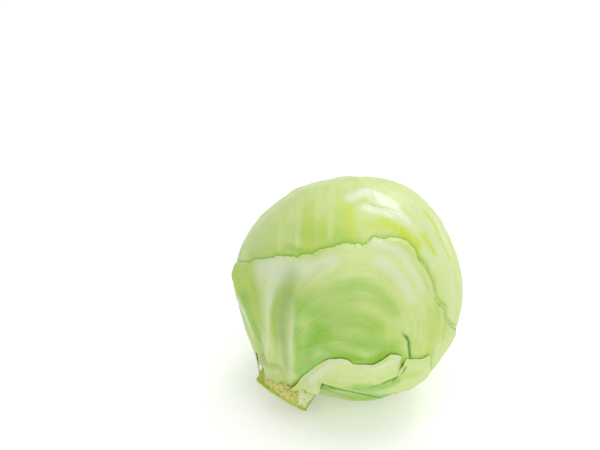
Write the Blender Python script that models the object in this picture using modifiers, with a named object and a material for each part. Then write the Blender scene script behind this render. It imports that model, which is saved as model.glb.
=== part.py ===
"""White cabbage lying on its side: a dense head wrapped in separate leaves, on the stub of its stem."""

import math

import bmesh
import bpy
import numpy as np
from mathutils import Matrix, Vector

MM = 0.001

# Driving sizes in millimetres
CABBAGE_WIDTH = 172.0
LEAF_THICKNESS = 1.0
LEAF_GAP = 1.0
LAYERS_AT_WIDEST = 2
CENTRE_HEIGHT = 80.4
STEM_RADIUS = 22.5
STEM_TOP = 72.6
STEM_REACH = 91.0
JOINT_GAP = 0.4
STEM_RIM = 0.9
DRAPE_WIDTH = 28.0
STEM_END_SLACK = 0.6
LIFT_WIDTH = 16.0

PITCH = LEAF_THICKNESS + LEAF_GAP
HEAD_RADIUS = CABBAGE_WIDTH / 2 - LAYERS_AT_WIDEST * PITCH
RIB_LIMIT = 6.0

HEAD_COLOUR = (0.76, 0.82, 0.50, 1.0)
STEM_COLOUR = (0.66, 0.66, 0.38, 1.0)
STEM_ROUGHNESS = 0.7
LEAF_ROUGHNESS = 0.45

# Angles in degrees. A place on the head is (turn, fall): the turn about the stem's axis from the
# middle of the front leaf, and the fall from the crown, 180 at the stem.
FRONT = -141.8
LEAN = math.degrees(
    math.atan2(STEM_RADIUS, STEM_REACH)
    + math.acos(CENTRE_HEIGHT / math.hypot(STEM_RADIUS, STEM_REACH))
)

# Fall at which a leaf's base meets the stem's side, and falls over which the gap beneath a leaf
# widens toward the stem and a free edge lies down again
BASE_FALL = 163.0
SLACK_FALLS = (132.0, 146.0)
LIFT_FALLS = (143.0, 155.0)

# Where the head is fuller than its profile, or slimmer: a place, its spread, and millimetres
SWELLS = [
    ((-72.0, 150.0), 27.0, -5.7), ((80.0, 158.0), 12.0, -4.8), ((68.0, 133.0), 15.0, 3.6),
    ((76.0, 104.0), 14.0, -2.6), ((-86.0, 36.0), 20.0, -2.9), ((-86.0, 68.0), 20.0, -1.6),
    ((-76.0, 112.0), 20.0, 1.7), ((30.0, 3.0), 16.0, 0.9), ((72.0, 35.0), 18.0, -1.6),
]

# Share of the head's radius at each fall
HEAD_PROFILE = [
    (0, 1.046), (45, 1.022), (90, 1.0), (115, 0.98), (135, 0.949),
    (150, 0.937), (162, 0.925), (171, 0.890), (180, 0.878),
]

# Rows of old leaf scars round the stem: depth and phase
SCAR_ROWS = [(79.0, 0.4), (85.0, 2.1)]

# Stalks torn off with their leaves: turn, root and tip as (radius, depth), and width
TORN_STALKS = [
    (-84.0, (19.5, 89.5), (32.0, 75.0), 7.0),
    (-150.0, (19.5, 88.5), (27.0, 79.5), 12.0),
]


def smooth_step(x):
    """Rises from 0 to 1 as x does, level at both ends."""
    x = np.clip(x, 0.0, 1.0)
    return x * x * (3.0 - 2.0 * x)


def smooth_between(limits, x):
    """Rises from 0 at the first limit to 1 at the second."""
    first, second = limits
    return smooth_step((x - first) / (second - first))


def direction(turn, fall):
    """Unit vectors from the head's centre to places on the head."""
    azimuth = np.radians(np.asarray(turn, float) + FRONT)
    polar = np.radians(np.asarray(fall, float))
    return np.stack(
        [np.sin(polar) * np.cos(azimuth), np.sin(polar) * np.sin(azimuth), np.cos(polar)], axis=-1
    )


def smooth_path(points, steps):
    """A smooth line through points, with some steps between each two."""
    points = np.asarray(points, float)
    ends = np.vstack([2 * points[0] - points[1], points, 2 * points[-1] - points[-2]])
    t = np.linspace(0.0, 1.0, steps, endpoint=False)[:, None]
    runs = []
    for a, b, c, d in zip(ends, ends[1:], ends[2:], ends[3:]):
        run = b + 0.5 * t * (c - a + t * (2 * a - 5 * b + 4 * c - d + t * (3 * (b - c) + d - a)))
        runs.append(run)
    return np.vstack(runs + [points[-1:]])


def distance_to_path(points, path):
    """Each point's distance to a line, and how far along the line that is, from 0 to 1."""
    best = np.full(len(points), np.inf)
    along = np.zeros(len(points))
    lengths = np.linalg.norm(np.diff(path, axis=0), axis=1)
    starts = np.concatenate([[0.0], np.cumsum(lengths)])
    for start, end, length, passed in zip(path, path[1:], lengths, starts):
        side = end - start
        t = np.clip((points - start) @ side / length**2, 0.0, 1.0)
        away = np.linalg.norm(points - start - t[:, None] * side, axis=1)
        nearer = away < best
        best[nearer] = away[nearer]
        along[nearer] = (passed + t[nearer] * length) / starts[-1]
    return best, along


class Rib:
    """A rib that swells a leaf's outer face along a path from the stem, thinning as it goes."""

    def __init__(self, places, height, width):
        turns, falls = zip(*places)
        path = smooth_path(direction(turns, falls), 4)
        self.path = HEAD_RADIUS * path / np.linalg.norm(path, axis=1)[:, None]
        self.height = height
        self.width = width

    def relief(self, dirs):
        away, along = distance_to_path(HEAD_RADIUS * dirs, self.path)
        half_width = self.width * (1.0 - 0.55 * along)
        return self.height * (1.0 - along) * smooth_step(1.0 - away / half_width)


class Leaf:
    """One leaf. Its edge is a list of places, seen from its middle as reach against bearing."""

    def __init__(self, name, colour, middle, edge, ribs, cells, ragged, lift, seed):
        self.name = name
        self.colour = colour
        self.ribs = [Rib(*rib) for rib in ribs]
        self.cells = cells
        self.lift = lift
        self.middle = direction(*middle)
        azimuth = math.radians(middle[0] + FRONT)
        polar = math.radians(middle[1])
        self.toward_stem = np.array([
            math.cos(polar) * math.cos(azimuth), math.cos(polar) * math.sin(azimuth), -math.sin(polar)
        ])
        self.toward_turn = np.array([-math.sin(azimuth), math.cos(azimuth), 0.0])
        turns, falls = zip(*edge)
        bearings, reaches = self.locate(direction(turns, falls))
        order = np.argsort(bearings)
        self.bearings = bearings[order]
        self.reaches = reaches[order]
        draw = np.random.default_rng(seed)
        self.waves = [(k, ragged * draw.uniform(0.3, 0.7), draw.uniform(0, 2 * math.pi))
                      for k in range(6, 24, 3)]
        self.broad = self.broad_outline()

    def locate(self, dirs):
        """Bearing from the way to the stem, and reach from the middle, of unit vectors."""
        bearing = np.arctan2(dirs @ self.toward_turn, dirs @ self.toward_stem)
        return bearing, np.arccos(np.clip(dirs @ self.middle, -1.0, 1.0))

    def place(self, bearing, reach):
        """The unit vectors at a bearing and reach from the middle."""
        side = np.cos(bearing)[:, None] * self.toward_stem + np.sin(bearing)[:, None] * self.toward_turn
        return np.cos(reach)[:, None] * self.middle + np.sin(reach)[:, None] * side

    def outline(self, bearing):
        """The edge's reach as it is drawn, before it is waved or meets the stem."""
        return np.interp(bearing, self.bearings, self.reaches, period=2 * math.pi)

    def broad_outline(self):
        """A few harmonics of the edge, set out far enough to hold all of it."""
        bearing = np.linspace(-math.pi, math.pi, 256, endpoint=False)
        reach = self.outline(bearing)
        harmonics = np.fft.rfft(reach)
        harmonics[6:] = 0.0
        smooth = np.fft.irfft(harmonics, len(reach))
        return bearing, smooth + max(0.0, np.max(reach - smooth))

    def cover(self, dirs):
        """1 where the leaf lies, falling to 0 over the width in which the next leaf drapes over it."""
        bearing, reach = self.locate(dirs)
        beyond = reach - np.interp(bearing, *self.broad, period=2 * math.pi)
        return smooth_step(1.0 - HEAD_RADIUS * beyond / DRAPE_WIDTH)

    def rib_relief(self, dirs):
        relief = np.zeros(len(dirs))
        for rib in self.ribs:
            relief = np.maximum(relief, rib.relief(dirs))
        return relief

    def stem_reach(self, bearing, stem_fall):
        """How far the leaf can reach before it meets the stem's side."""
        a = self.middle[2]
        b = np.cos(bearing) * self.toward_stem[2]
        size = np.hypot(a, b)
        swing = np.arccos(np.clip(math.cos(stem_fall) / size, -1.0, 1.0))
        tilt = np.arctan2(b, a)
        first = np.minimum((tilt - swing) % (2 * math.pi), (tilt + swing) % (2 * math.pi))
        return np.where(size > abs(math.cos(stem_fall)), first, math.pi)

    def lay_out(self, u, v, stem_fall):
        """Where a square's points fall on the head, and how far inside the edge each one is."""
        x = u * np.sqrt(1.0 - v * v / 2)
        y = v * np.sqrt(1.0 - u * u / 2)
        bearing = np.arctan2(y, x)
        wave = sum(size * np.sin(k * bearing + phase) for k, size, phase in self.waves)
        full = np.minimum(self.outline(bearing) + np.radians(wave), self.stem_reach(bearing, stem_fall))
        share = np.hypot(x, y)
        return self.place(bearing, share * full), HEAD_RADIUS * full * (1.0 - share)


class Strip(Leaf):
    """A torn leaf that runs as a strip from the stem, between a lower edge and an upper one."""

    def __init__(self, name, colour, middle, lower, upper, ribs, cells, lift, seed):
        super().__init__(name, colour, middle, lower + upper[::-1], ribs, cells, 0.0, lift, seed)
        self.lower = lower
        self.upper = upper

    def edge_at(self, edge, share, stem_fall):
        """The unit vectors at shares of the way along one edge, which starts on the stem's side."""
        turns, falls = np.array(edge, float).T
        falls[0] = math.degrees(stem_fall)
        dirs = direction(turns, falls)
        steps = np.linalg.norm(np.diff(dirs, axis=0), axis=1)
        lengths = np.concatenate([[0.0], np.cumsum(steps)]) / np.sum(steps)
        found = np.stack([np.interp(share, lengths, dirs[:, i]) for i in range(3)], axis=1)
        return found / np.linalg.norm(found, axis=1)[:, None]

    def lay_out(self, u, v, stem_fall):
        lower = self.edge_at(self.lower, (u + 1) / 2, stem_fall)
        upper = self.edge_at(self.upper, (u + 1) / 2, stem_fall)
        across = ((v + 1) / 2)[:, None]
        dirs = lower * (1.0 - across) + upper * across
        dirs = dirs / np.linalg.norm(dirs, axis=1)[:, None]
        fall = np.minimum(np.arccos(dirs[:, 2]), stem_fall)
        flat = dirs[:, :2] / np.hypot(dirs[:, 0], dirs[:, 1])[:, None]
        dirs = np.column_stack([flat * np.sin(fall)[:, None], np.cos(fall)])
        width = HEAD_RADIUS * np.linalg.norm(upper - lower, axis=1)
        return dirs, width * (1.0 - np.abs(v)) / 2


# Leaves from the innermost to the outermost. Edges run round from the stem. Ribs are a path, a height
# and a half width. Lifts are an amount, the place where it is greatest and its spread.
LEAVES = [
    Leaf(
        "leaf_top", (0.72, 0.80, 0.42, 1.0), middle=(-106, 34),
        edge=[
            (-146, 165), (-76, 165), (-72, 150), (-66, 135), (-60, 122), (-50, 113), (-36, 105),
            (-22, 96), (-10, 87), (2, 80), (16, 77), (30, 79), (45, 86), (60, 91), (78, 94), (95, 92),
            (108, 85), (118, 75), (132, 62), (150, 52), (172, 46), (-168, 50), (-152, 64), (-150, 85),
            (-154, 105), (-155, 130), (-151, 150),
        ],
        ribs=[
            ([(-112, 163), (-110, 130), (-108, 95), (-104, 60), (-96, 34)], 4.5, 12.0),
            ([(-108, 100), (-92, 84), (-72, 78), (-52, 82)], 0.9, 8.0),
            ([(-105, 70), (-80, 58), (-52, 58), (-28, 66)], 0.9, 8.0),
            ([(-98, 38), (-50, 32), (-10, 42), (10, 58)], 0.8, 8.0),
            ([(-110, 92), (-128, 74), (-148, 62)], 1.2, 8.0),
        ],
        cells=30, ragged=3.4, lift=[(1.2, (172, 46), 60)], seed=3,
    ),
    Leaf(
        "leaf_back", (0.62, 0.75, 0.33, 1.0), middle=(178, 118),
        edge=[
            (140, 165), (128, 150), (122, 130), (118, 110), (122, 92), (135, 78), (152, 68), (175, 63),
            (-165, 64), (-148, 72), (-136, 86), (-128, 105), (-126, 130), (-130, 150), (-140, 165),
        ],
        ribs=[
            ([(178, 163), (176, 140), (178, 115), (-177, 90), (-172, 68)], 5.0, 13.0),
            ([(177, 120), (164, 100), (148, 88), (134, 84)], 1.7, 7.0),
            ([(180, 108), (-166, 92), (-152, 84)], 1.7, 7.0),
        ],
        cells=20, ragged=2.4, lift=[(1.8, (178, 66), 50)], seed=8,
    ),
    Leaf(
        "leaf_left", (0.66, 0.78, 0.38, 1.0), middle=(-105, 130),
        edge=[
            (-150, 165), (-160, 140), (-162, 120), (-155, 104), (-140, 98), (-120, 101), (-100, 109),
            (-84, 116), (-66, 121), (-56, 131), (-50, 145), (-50, 165),
        ],
        ribs=[
            ([(-95, 163), (-98, 145), (-105, 125), (-112, 102)], 4.5, 12.0),
            ([(-99, 140), (-116, 124), (-138, 112)], 1.6, 7.0),
        ],
        cells=18, ragged=1.8, lift=[(1.6, (-140, 104), 45)], seed=5,
    ),
    Leaf(
        "leaf_under", (0.60, 0.75, 0.30, 1.0), middle=(98, 130),
        edge=[
            (28, 165), (24, 150), (24, 142), (30, 136), (42, 130), (56, 124), (70, 118), (84, 112),
            (98, 104), (112, 93), (128, 87), (146, 89), (162, 98), (171, 115), (170, 138), (160, 152),
            (144, 165),
        ],
        ribs=[
            ([(94, 163), (94, 145), (99, 125), (109, 98)], 4.5, 12.0),
            ([(94, 140), (114, 126), (138, 112)], 1.4, 7.0),
        ],
        cells=20, ragged=1.8, lift=[(1.6, (132, 90), 45)], seed=11,
    ),
    Leaf(
        "leaf_front", (0.66, 0.78, 0.40, 1.0), middle=(5, 105),
        edge=[
            (12, 165), (15, 150), (18, 140), (26, 134), (34, 128), (44, 122), (56, 118), (70, 113),
            (84, 108), (94, 103), (102, 94), (94, 82), (76, 76.5), (66, 76.5), (57, 75), (54, 71.5),
            (47, 70.5), (43, 69.5), (38, 63), (34, 60), (24, 56.5), (20, 53.5), (15, 53.5), (5, 55),
            (1, 58), (-3, 60.5), (-4, 66), (-13, 70.5), (-18.4, 76.5), (-24, 83), (-28, 86.5),
            (-29, 88.5), (-35, 90.5), (-47, 97), (-54, 100.5), (-56, 103), (-67, 105.5), (-76, 108),
            (-76, 113), (-65, 121), (-60, 127), (-58, 134.5), (-59, 144.5), (-63, 152), (-68, 165),
        ],
        ribs=[
            ([(2, 163), (-3, 148), (-11, 130), (-15.5, 114), (-19.5, 103), (-23, 91)], 4.5, 13.0),
            ([(-46, 163), (-39, 150), (-33.5, 130), (-36.5, 109), (-40, 99)], 3.4, 11.0),
            ([(-18, 108), (-14, 88), (-5, 76), (6, 69), (18, 66), (31, 68), (44, 76), (54, 88)], 2.0, 7.0),
            ([(-15, 118), (-11, 96), (-2, 82), (10, 75), (22, 75), (34, 81), (42, 92)], 1.8, 7.0),
        ],
        cells=28, ragged=0.5, lift=[(1.2, (20, 55), 40), (0.8, (-70, 108), 25)], seed=2,
    ),
    Strip(
        "leaf_lower_right", (0.72, 0.80, 0.50, 1.0), middle=(42, 121),
        lower=[
            (52, 166), (44, 158), (36, 151), (27, 144), (21, 140), (20, 138), (24, 137.5), (31, 137.5),
            (37, 134.5), (44, 132), (55, 127), (68, 121), (77, 118), (86, 117), (94, 116), (100, 113),
        ],
        upper=[
            (8, 166), (8, 152), (7, 146), (9, 136.5), (10, 131), (11.5, 126), (13, 123), (17, 119.5),
            (21, 118), (25, 118.5), (29, 116.5), (34, 113), (36, 107.5), (37, 103.5), (41, 102), (44, 102),
            (46, 104.5), (52, 107.5), (49, 104), (47.5, 102), (51, 100.5), (57, 97.5), (59, 95), (62, 95),
            (67, 98), (80, 101), (91, 105), (101, 113),
        ],
        ribs=[([(30, 163), (23, 150), (25, 135), (38, 122), (56, 116)], 3.0, 10.0)],
        cells=(30, 9), lift=[(2.6, (28, 114), 20)], seed=7,
    ),
]


def nearness(dirs, place, spread):
    """1 at a place on the head, fading round it."""
    return np.exp(-(1.0 - dirs @ direction(*place)) / (1.0 - math.cos(math.radians(spread))))


def fall_of(dirs):
    return np.degrees(np.arccos(np.clip(dirs[:, 2], -1.0, 1.0)))


def head_radius(dirs):
    """Radius of the dense head, swollen here, slimmer there and faintly uneven all round."""
    fall = fall_of(dirs)
    profile = smooth_path(HEAD_PROFILE, 8)
    radius = HEAD_RADIUS * np.interp(fall, profile[:, 0], profile[:, 1])
    turn = np.arctan2(dirs[:, 1], dirs[:, 0])
    swell = 0.35 * np.sin(5 * turn + 1.1) + 0.25 * np.sin(9 * turn - 0.4)
    radius = radius + swell * np.sin(np.radians(fall)) ** 2
    for place, spread, height in SWELLS:
        radius = radius + height * nearness(dirs, place, spread)
    return radius


def layer_depth(dirs):
    """A leaf's thickness and the gap beneath it, which is wider near the stem."""
    return PITCH + STEM_END_SLACK * smooth_between(SLACK_FALLS, fall_of(dirs))


def surface_beneath(level, dirs):
    """Radius of what the leaf at this level lies on, with its gap still to come."""
    radius = head_radius(dirs)
    for leaf in LEAVES[:level]:
        radius = radius + leaf.cover(dirs) * (layer_depth(dirs) + leaf.rib_relief(dirs))
    return radius


def resting_limit(dirs):
    """Radius at which the surface that the cabbage lies on is met."""
    lean = math.radians(LEAN)
    down = np.array([math.sin(lean), 0.0, -math.cos(lean)])
    return CENTRE_HEIGHT / np.maximum(dirs @ down, 0.2)


def resting_dent(dirs):
    """How far everything is pressed in where the cabbage rests, so that it ends on a flat spot."""
    return np.maximum(0.0, surface_beneath(len(LEAVES), dirs) - resting_limit(dirs))


def edge_lift(level, dirs, inside):
    """How far a leaf's free edge stands off what it lies on."""
    leaf = LEAVES[level]
    free = np.ones(len(dirs))
    for above in LEAVES[level + 1:]:
        free = free * (1.0 - above.cover(dirs))
    free = free * (1.0 - smooth_between(LIFT_FALLS, fall_of(dirs)))
    ripple = 0.55 + 0.45 * np.sin(11 * np.arctan2(dirs[:, 1], dirs[:, 0]) + 8 * dirs[:, 2] + level)
    lift = np.zeros(len(dirs))
    for amount, place, spread in leaf.lift:
        lift = lift + amount * nearness(dirs, place, spread)
    return lift * ripple * free * smooth_step(1.0 - inside / LIFT_WIDTH)


def leaf_faces(level, u, v):
    """Outer face of a leaf in millimetres and its thickness, at points of a square."""
    leaf = LEAVES[level]
    start = leaf.place(np.zeros(1), leaf.stem_reach(np.zeros(1), math.radians(BASE_FALL)))
    base_radius = surface_beneath(level, start)[0]
    stem_fall = math.pi - math.asin((STEM_RADIUS + JOINT_GAP) / base_radius)
    dirs, inside = leaf.lay_out(u, v, stem_fall)
    rib = leaf.rib_relief(dirs)
    radius = surface_beneath(level, dirs) + layer_depth(dirs) + rib
    room = np.maximum(0.0, resting_limit(dirs) - radius)
    radius = radius - resting_dent(dirs) + np.minimum(edge_lift(level, dirs, inside), room)
    return radius[:, None] * dirs, LEAF_THICKNESS + rib


def new_material(name, colour, roughness):
    material = bpy.data.materials.new(name)
    material.use_nodes = True
    shader = material.node_tree.nodes["Principled BSDF"]
    shader.inputs["Base Color"].default_value = colour
    shader.inputs["Roughness"].default_value = roughness
    return material


def add_object(name, bm, colour, roughness, collection, parent):
    """Turns a bmesh in millimetres into a named object in metres, with its own material."""
    bmesh.ops.scale(bm, vec=(MM, MM, MM), verts=bm.verts)
    mesh = bpy.data.meshes.new(name)
    bm.to_mesh(mesh)
    bm.free()
    mesh.materials.append(new_material(name + "_skin", colour, roughness))
    mesh.shade_smooth()
    obj = bpy.data.objects.new(name, mesh)
    collection.objects.link(obj)
    obj.parent = parent
    return obj


def make_leaf(level, collection, parent):
    """A square grid laid over what is beneath in the leaf's outline, and given thickness."""
    leaf = LEAVES[level]
    along, across = leaf.cells if isinstance(leaf.cells, tuple) else (leaf.cells, leaf.cells)
    bm = bmesh.new()
    bmesh.ops.create_grid(bm, x_segments=along, y_segments=across, size=1.0)
    square = np.array([vert.co for vert in bm.verts])
    outer, thickness = leaf_faces(level, square[:, 0], square[:, 1])
    for vert, place in zip(bm.verts, outer):
        vert.co = place
    bmesh.ops.triangulate(bm, faces=bm.faces, quad_method="SHORT_EDGE")
    bm.normal_update()
    if sum(face.normal.dot(face.calc_center_median()) for face in bm.faces) < 0:
        bmesh.ops.reverse_faces(bm, faces=bm.faces)
    obj = add_object(leaf.name, bm, leaf.colour, LEAF_ROUGHNESS, collection, parent)
    group = obj.vertex_groups.new(name="thickness")
    most = LEAF_THICKNESS + RIB_LIMIT
    for index, value in enumerate(thickness):
        group.add([index], value / most, "REPLACE")
    shell = obj.modifiers.new("thickness", "SOLIDIFY")
    shell.thickness = most * MM
    shell.offset = -1.0
    shell.vertex_group = group.name
    return obj


def make_head(collection, parent):
    bm = bmesh.new()
    bmesh.ops.create_uvsphere(bm, u_segments=48, v_segments=26, radius=1.0)
    dirs = np.array([vert.co.normalized() for vert in bm.verts])
    radius = head_radius(dirs) - resting_dent(dirs)
    for vert, way, size in zip(bm.verts, dirs, radius):
        vert.co = way * size
    return add_object("head", bm, HEAD_COLOUR, LEAF_ROUGHNESS, collection, parent)


def stem_side(azimuth, depth):
    """How far the stem's side stands out of a plain cylinder at its rows of scars."""
    rows = 0.0
    for middle, phase in SCAR_ROWS:
        row = math.exp(-((depth - middle) / 2.2) ** 2)
        rows += 0.6 * row * (0.6 + 0.4 * math.sin(3 * azimuth + phase))
    return rows - 0.4


def turned_stem():
    """The stub turned from its profile, with a rounded rim and a side roughened by scars."""
    profile = [
        (0.0, STEM_TOP), (STEM_RADIUS * 0.5, STEM_TOP), (STEM_RADIUS - 2.0, STEM_TOP),
        (STEM_RADIUS - 1.0, STEM_TOP + 2.0), (STEM_RADIUS - 0.6, 79.0), (STEM_RADIUS - 0.5, 82.0),
        (STEM_RADIUS - 0.6, 85.0), (STEM_RADIUS - 0.3, 88.0), (STEM_RADIUS, STEM_REACH),
        (STEM_RADIUS - STEM_RIM, STEM_REACH + STEM_RIM), (STEM_RADIUS * 0.6, STEM_REACH + STEM_RIM),
        (0.0, STEM_REACH + STEM_RIM),
    ]
    bm = bmesh.new()
    verts = [bm.verts.new((radius, 0.0, -depth)) for radius, depth in profile]
    for a, b in zip(verts, verts[1:]):
        bm.edges.new((a, b))
    bmesh.ops.spin(
        bm, geom=bm.verts[:] + bm.edges[:], cent=(0, 0, 0), axis=(0, 0, 1), dvec=(0, 0, 0),
        angle=2 * math.pi, steps=40, use_merge=True, use_duplicate=False,
    )
    bmesh.ops.remove_doubles(bm, verts=bm.verts, dist=0.01)
    for vert in bm.verts:
        if STEM_TOP + 1.0 < -vert.co.z < STEM_REACH - 1.0:
            factor = 1.0 + stem_side(math.atan2(vert.co.y, vert.co.x), -vert.co.z) / STEM_RADIUS
            vert.co.x *= factor
            vert.co.y *= factor
    bmesh.ops.recalc_face_normals(bm, faces=bm.faces)
    return bm


def torn_stalk(turn, root, tip, width):
    """A flat spike left by a torn-off leaf, from a root in the stem to a tip, each (radius, depth)."""
    azimuth = math.radians(turn + FRONT)
    out = Vector((math.cos(azimuth), math.sin(azimuth), 0.0))
    start = out * root[0] - Vector((0, 0, root[1]))
    end = out * tip[0] - Vector((0, 0, tip[1]))
    along = (end - start).normalized()
    across = Vector((-out.y, out.x, 0.0))
    frame = Matrix((across, along.cross(across), along)).transposed().to_4x4()
    bm = bmesh.new()
    bmesh.ops.create_cone(
        bm, cap_ends=True, segments=8, radius1=width / 2, radius2=width / 12, depth=(end - start).length,
    )
    bmesh.ops.scale(bm, vec=(1.0, 0.45, 1.0), verts=bm.verts)
    bmesh.ops.transform(bm, matrix=Matrix.Translation((start + end) / 2) @ frame, verts=bm.verts)
    bmesh.ops.recalc_face_normals(bm, faces=bm.faces)
    return bm


def make_stem(collection, spikes, parent):
    """The stub of the stem, with the torn stalks of lost leaves joined to it."""
    stem = add_object("stem", turned_stem(), STEM_COLOUR, STEM_ROUGHNESS, collection, parent)
    for number, stalk in enumerate(TORN_STALKS):
        spike = add_object(
            f"torn_stalk_{number}", torn_stalk(*stalk), STEM_COLOUR, STEM_ROUGHNESS, spikes, parent
        )
        spike.hide_render = True
        spike.display_type = "WIRE"
        join = stem.modifiers.new(spike.name, "BOOLEAN")
        join.operation = "UNION"
        join.object = spike
    return stem


def clear_scene():
    for obj in list(bpy.data.objects):
        bpy.data.objects.remove(obj)


def main():
    clear_scene()
    collection = bpy.data.collections.new("cabbage")
    bpy.context.scene.collection.children.link(collection)
    centre = bpy.data.objects.new("cabbage_centre", None)
    centre.location = (0.0, 0.0, CENTRE_HEIGHT * MM)
    centre.rotation_euler = (0.0, math.radians(LEAN), 0.0)
    collection.objects.link(centre)
    spikes = bpy.data.collections.new("stem_additions")
    bpy.context.scene.collection.children.link(spikes)
    make_stem(collection, spikes, centre)
    make_head(collection, centre)
    for level in range(len(LEAVES)):
        make_leaf(level, collection, centre)


main()
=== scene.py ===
"""Looks of a white cabbage lying on its side: fine leaves with veins and torn edges, and a cut stem."""

import math

import bmesh
import bpy
import numpy as np
from mathutils import Matrix, Vector, kdtree, noise


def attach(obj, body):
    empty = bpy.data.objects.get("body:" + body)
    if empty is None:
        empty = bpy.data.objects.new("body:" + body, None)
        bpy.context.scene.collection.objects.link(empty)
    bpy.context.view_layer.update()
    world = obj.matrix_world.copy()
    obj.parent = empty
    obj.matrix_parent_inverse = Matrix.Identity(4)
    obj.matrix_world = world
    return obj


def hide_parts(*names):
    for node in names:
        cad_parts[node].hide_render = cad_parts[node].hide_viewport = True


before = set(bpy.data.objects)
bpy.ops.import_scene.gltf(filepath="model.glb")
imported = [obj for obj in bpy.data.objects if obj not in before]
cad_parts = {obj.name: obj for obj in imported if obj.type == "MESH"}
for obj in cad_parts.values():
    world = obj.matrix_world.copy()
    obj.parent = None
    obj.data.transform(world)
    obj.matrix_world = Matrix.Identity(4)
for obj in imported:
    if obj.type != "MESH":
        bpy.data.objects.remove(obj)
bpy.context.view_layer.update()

MM = 0.001

# Driving sizes in millimetres, as in the part's source
CABBAGE_WIDTH = 172.0
LEAF_THICKNESS = 1.0
LEAF_GAP = 1.0
LAYERS_AT_WIDEST = 2
CENTRE_HEIGHT = 80.4
STEM_RADIUS = 22.5
STEM_TOP = 72.6
STEM_REACH = 91.0
STEM_RIM = 0.9
DRAPE_WIDTH = 28.0
STEM_END_SLACK = 0.6
LIFT_WIDTH = 16.0

PITCH = LEAF_THICKNESS + LEAF_GAP
HEAD_RADIUS = CABBAGE_WIDTH / 2 - LAYERS_AT_WIDEST * PITCH
HEAD_CENTRE = Vector((0.0, 0.0, CENTRE_HEIGHT * MM))
RIB_LIMIT = 6.0
RIB_TAPER = 0.55

# How thin a leaf gets at its margin, how far that sinks, over what width, and how wide its pale rim is
MARGIN_THICKNESS = 0.45
MARGIN_SINK = 1.5
MARGIN_WIDTH = 5.0
PALE_MARGIN_WIDTH = 2.2

# How far a leaf's base runs into the stem, how far the fine head lies inside the solid one, how far the
# front leaf's channel sinks, and the puckers of every leaf as height, size and seed
STEM_BITE = 0.8
HEAD_SINK = 0.9
CHANNEL_SINK = 0.35
PUCKERS = [(0.28, 9.0, 0), (0.12, 3.6, 9)]

# How many points each kind of line has, and how many steps a smooth line takes between two places
RIB_STEPS = 30
VEIN_STEPS = 26
STROKE_STEPS = 14
MIDRIB_STEPS = 40
BRANCH_STEPS = 6
PLACE_STEPS = 8
RIB_PLACE_STEPS = 4

# How far a leaf's base sinks into the stem, between which falls and turns
BASE_SINKS = {
    "leaf_lower_right": (4.0, (148.0, 161.0), (12.0, 24.0)),
    "leaf_front": (0.8, (155.0, 163.0), (-24.0, -40.0)),
}

# Angles in degrees. A place on the head is (turn, fall): the turn about the stem's axis from the
# middle of the front leaf, and the fall from the crown, 180 at the stem.
FRONT = -141.8
LEAN = math.degrees(
    math.atan2(STEM_RADIUS, STEM_REACH)
    + math.acos(CENTRE_HEIGHT / math.hypot(STEM_RADIUS, STEM_REACH))
)
BASE_FALL = 163.0
SLACK_FALLS = (132.0, 146.0)
LIFT_FALLS = (143.0, 155.0)

# The head's swells as place, spread and height, its unevenness as height, swings and phase, and its
# profile as fall and share of the radius
SWELLS = [
    ((-72.0, 150.0), 27.0, -5.7), ((80.0, 158.0), 12.0, -4.8), ((68.0, 133.0), 15.0, 3.6),
    ((76.0, 104.0), 14.0, -2.6), ((-86.0, 36.0), 20.0, -2.9), ((-86.0, 68.0), 20.0, -1.6),
    ((-76.0, 112.0), 20.0, 1.7), ((30.0, 3.0), 16.0, 0.9), ((72.0, 35.0), 18.0, -1.6),
]
UNEVENNESS = [(0.35, 5, 1.1), (0.25, 9, -0.4)]
HEAD_PROFILE = [
    (0, 1.046), (45, 1.022), (90, 1.0), (115, 0.98), (135, 0.949),
    (150, 0.937), (162, 0.925), (171, 0.890), (180, 0.878),
]

# Rows of old leaf scars round the stem as depth and phase, and stalks torn off with their leaves as
# turn, root and tip as (radius, depth), and width
SCAR_ROWS = [(79.0, 0.4), (85.0, 2.1)]
SCAR_ROW_WIDTH = 2.2
SCAR_ROW_HEIGHT = 0.6
TORN_STALKS = [
    (-84.0, (19.5, 89.5), (32.0, 75.0), 7.0),
    (-150.0, (19.5, 88.5), (27.0, 79.5), 12.0),
]


def smooth_step(x):
    """Rises from 0 to 1 as x does, level at both ends."""
    x = np.clip(x, 0.0, 1.0)
    return x * x * (3.0 - 2.0 * x)


def smooth_between(limits, x):
    """Rises from 0 at the first limit to 1 at the second."""
    first, second = limits
    return smooth_step((x - first) / (second - first))


def unit(vectors):
    """Vectors scaled to length 1."""
    return vectors / np.linalg.norm(vectors, axis=-1, keepdims=True)


def direction(turn, fall):
    """Unit vectors from the head's centre to places on the head."""
    azimuth = np.radians(np.asarray(turn, float) + FRONT)
    polar = np.radians(np.asarray(fall, float))
    return np.stack(
        [np.sin(polar) * np.cos(azimuth), np.sin(polar) * np.sin(azimuth), np.cos(polar)], axis=-1
    )


def fall_of(dirs):
    """Fall from the crown in degrees."""
    return np.degrees(np.arccos(np.clip(dirs[:, 2], -1.0, 1.0)))


def turn_of(dirs):
    """Turn about the stem's axis from the middle of the front leaf, from -180 to 180 degrees."""
    turn = np.degrees(np.arctan2(dirs[:, 1], dirs[:, 0])) - FRONT
    return (turn + 180.0) % 360.0 - 180.0


def smooth_path(points, steps):
    """A smooth line through points, with some steps between each two."""
    points = np.asarray(points, float)
    ends = np.vstack([2 * points[0] - points[1], points, 2 * points[-1] - points[-2]])
    t = np.linspace(0.0, 1.0, steps, endpoint=False)[:, None]
    runs = []
    for a, b, c, d in zip(ends, ends[1:], ends[2:], ends[3:]):
        run = b + 0.5 * t * (c - a + t * (2 * a - 5 * b + 4 * c - d + t * (3 * (b - c) + d - a)))
        runs.append(run)
    return np.vstack(runs + [points[-1:]])


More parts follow.
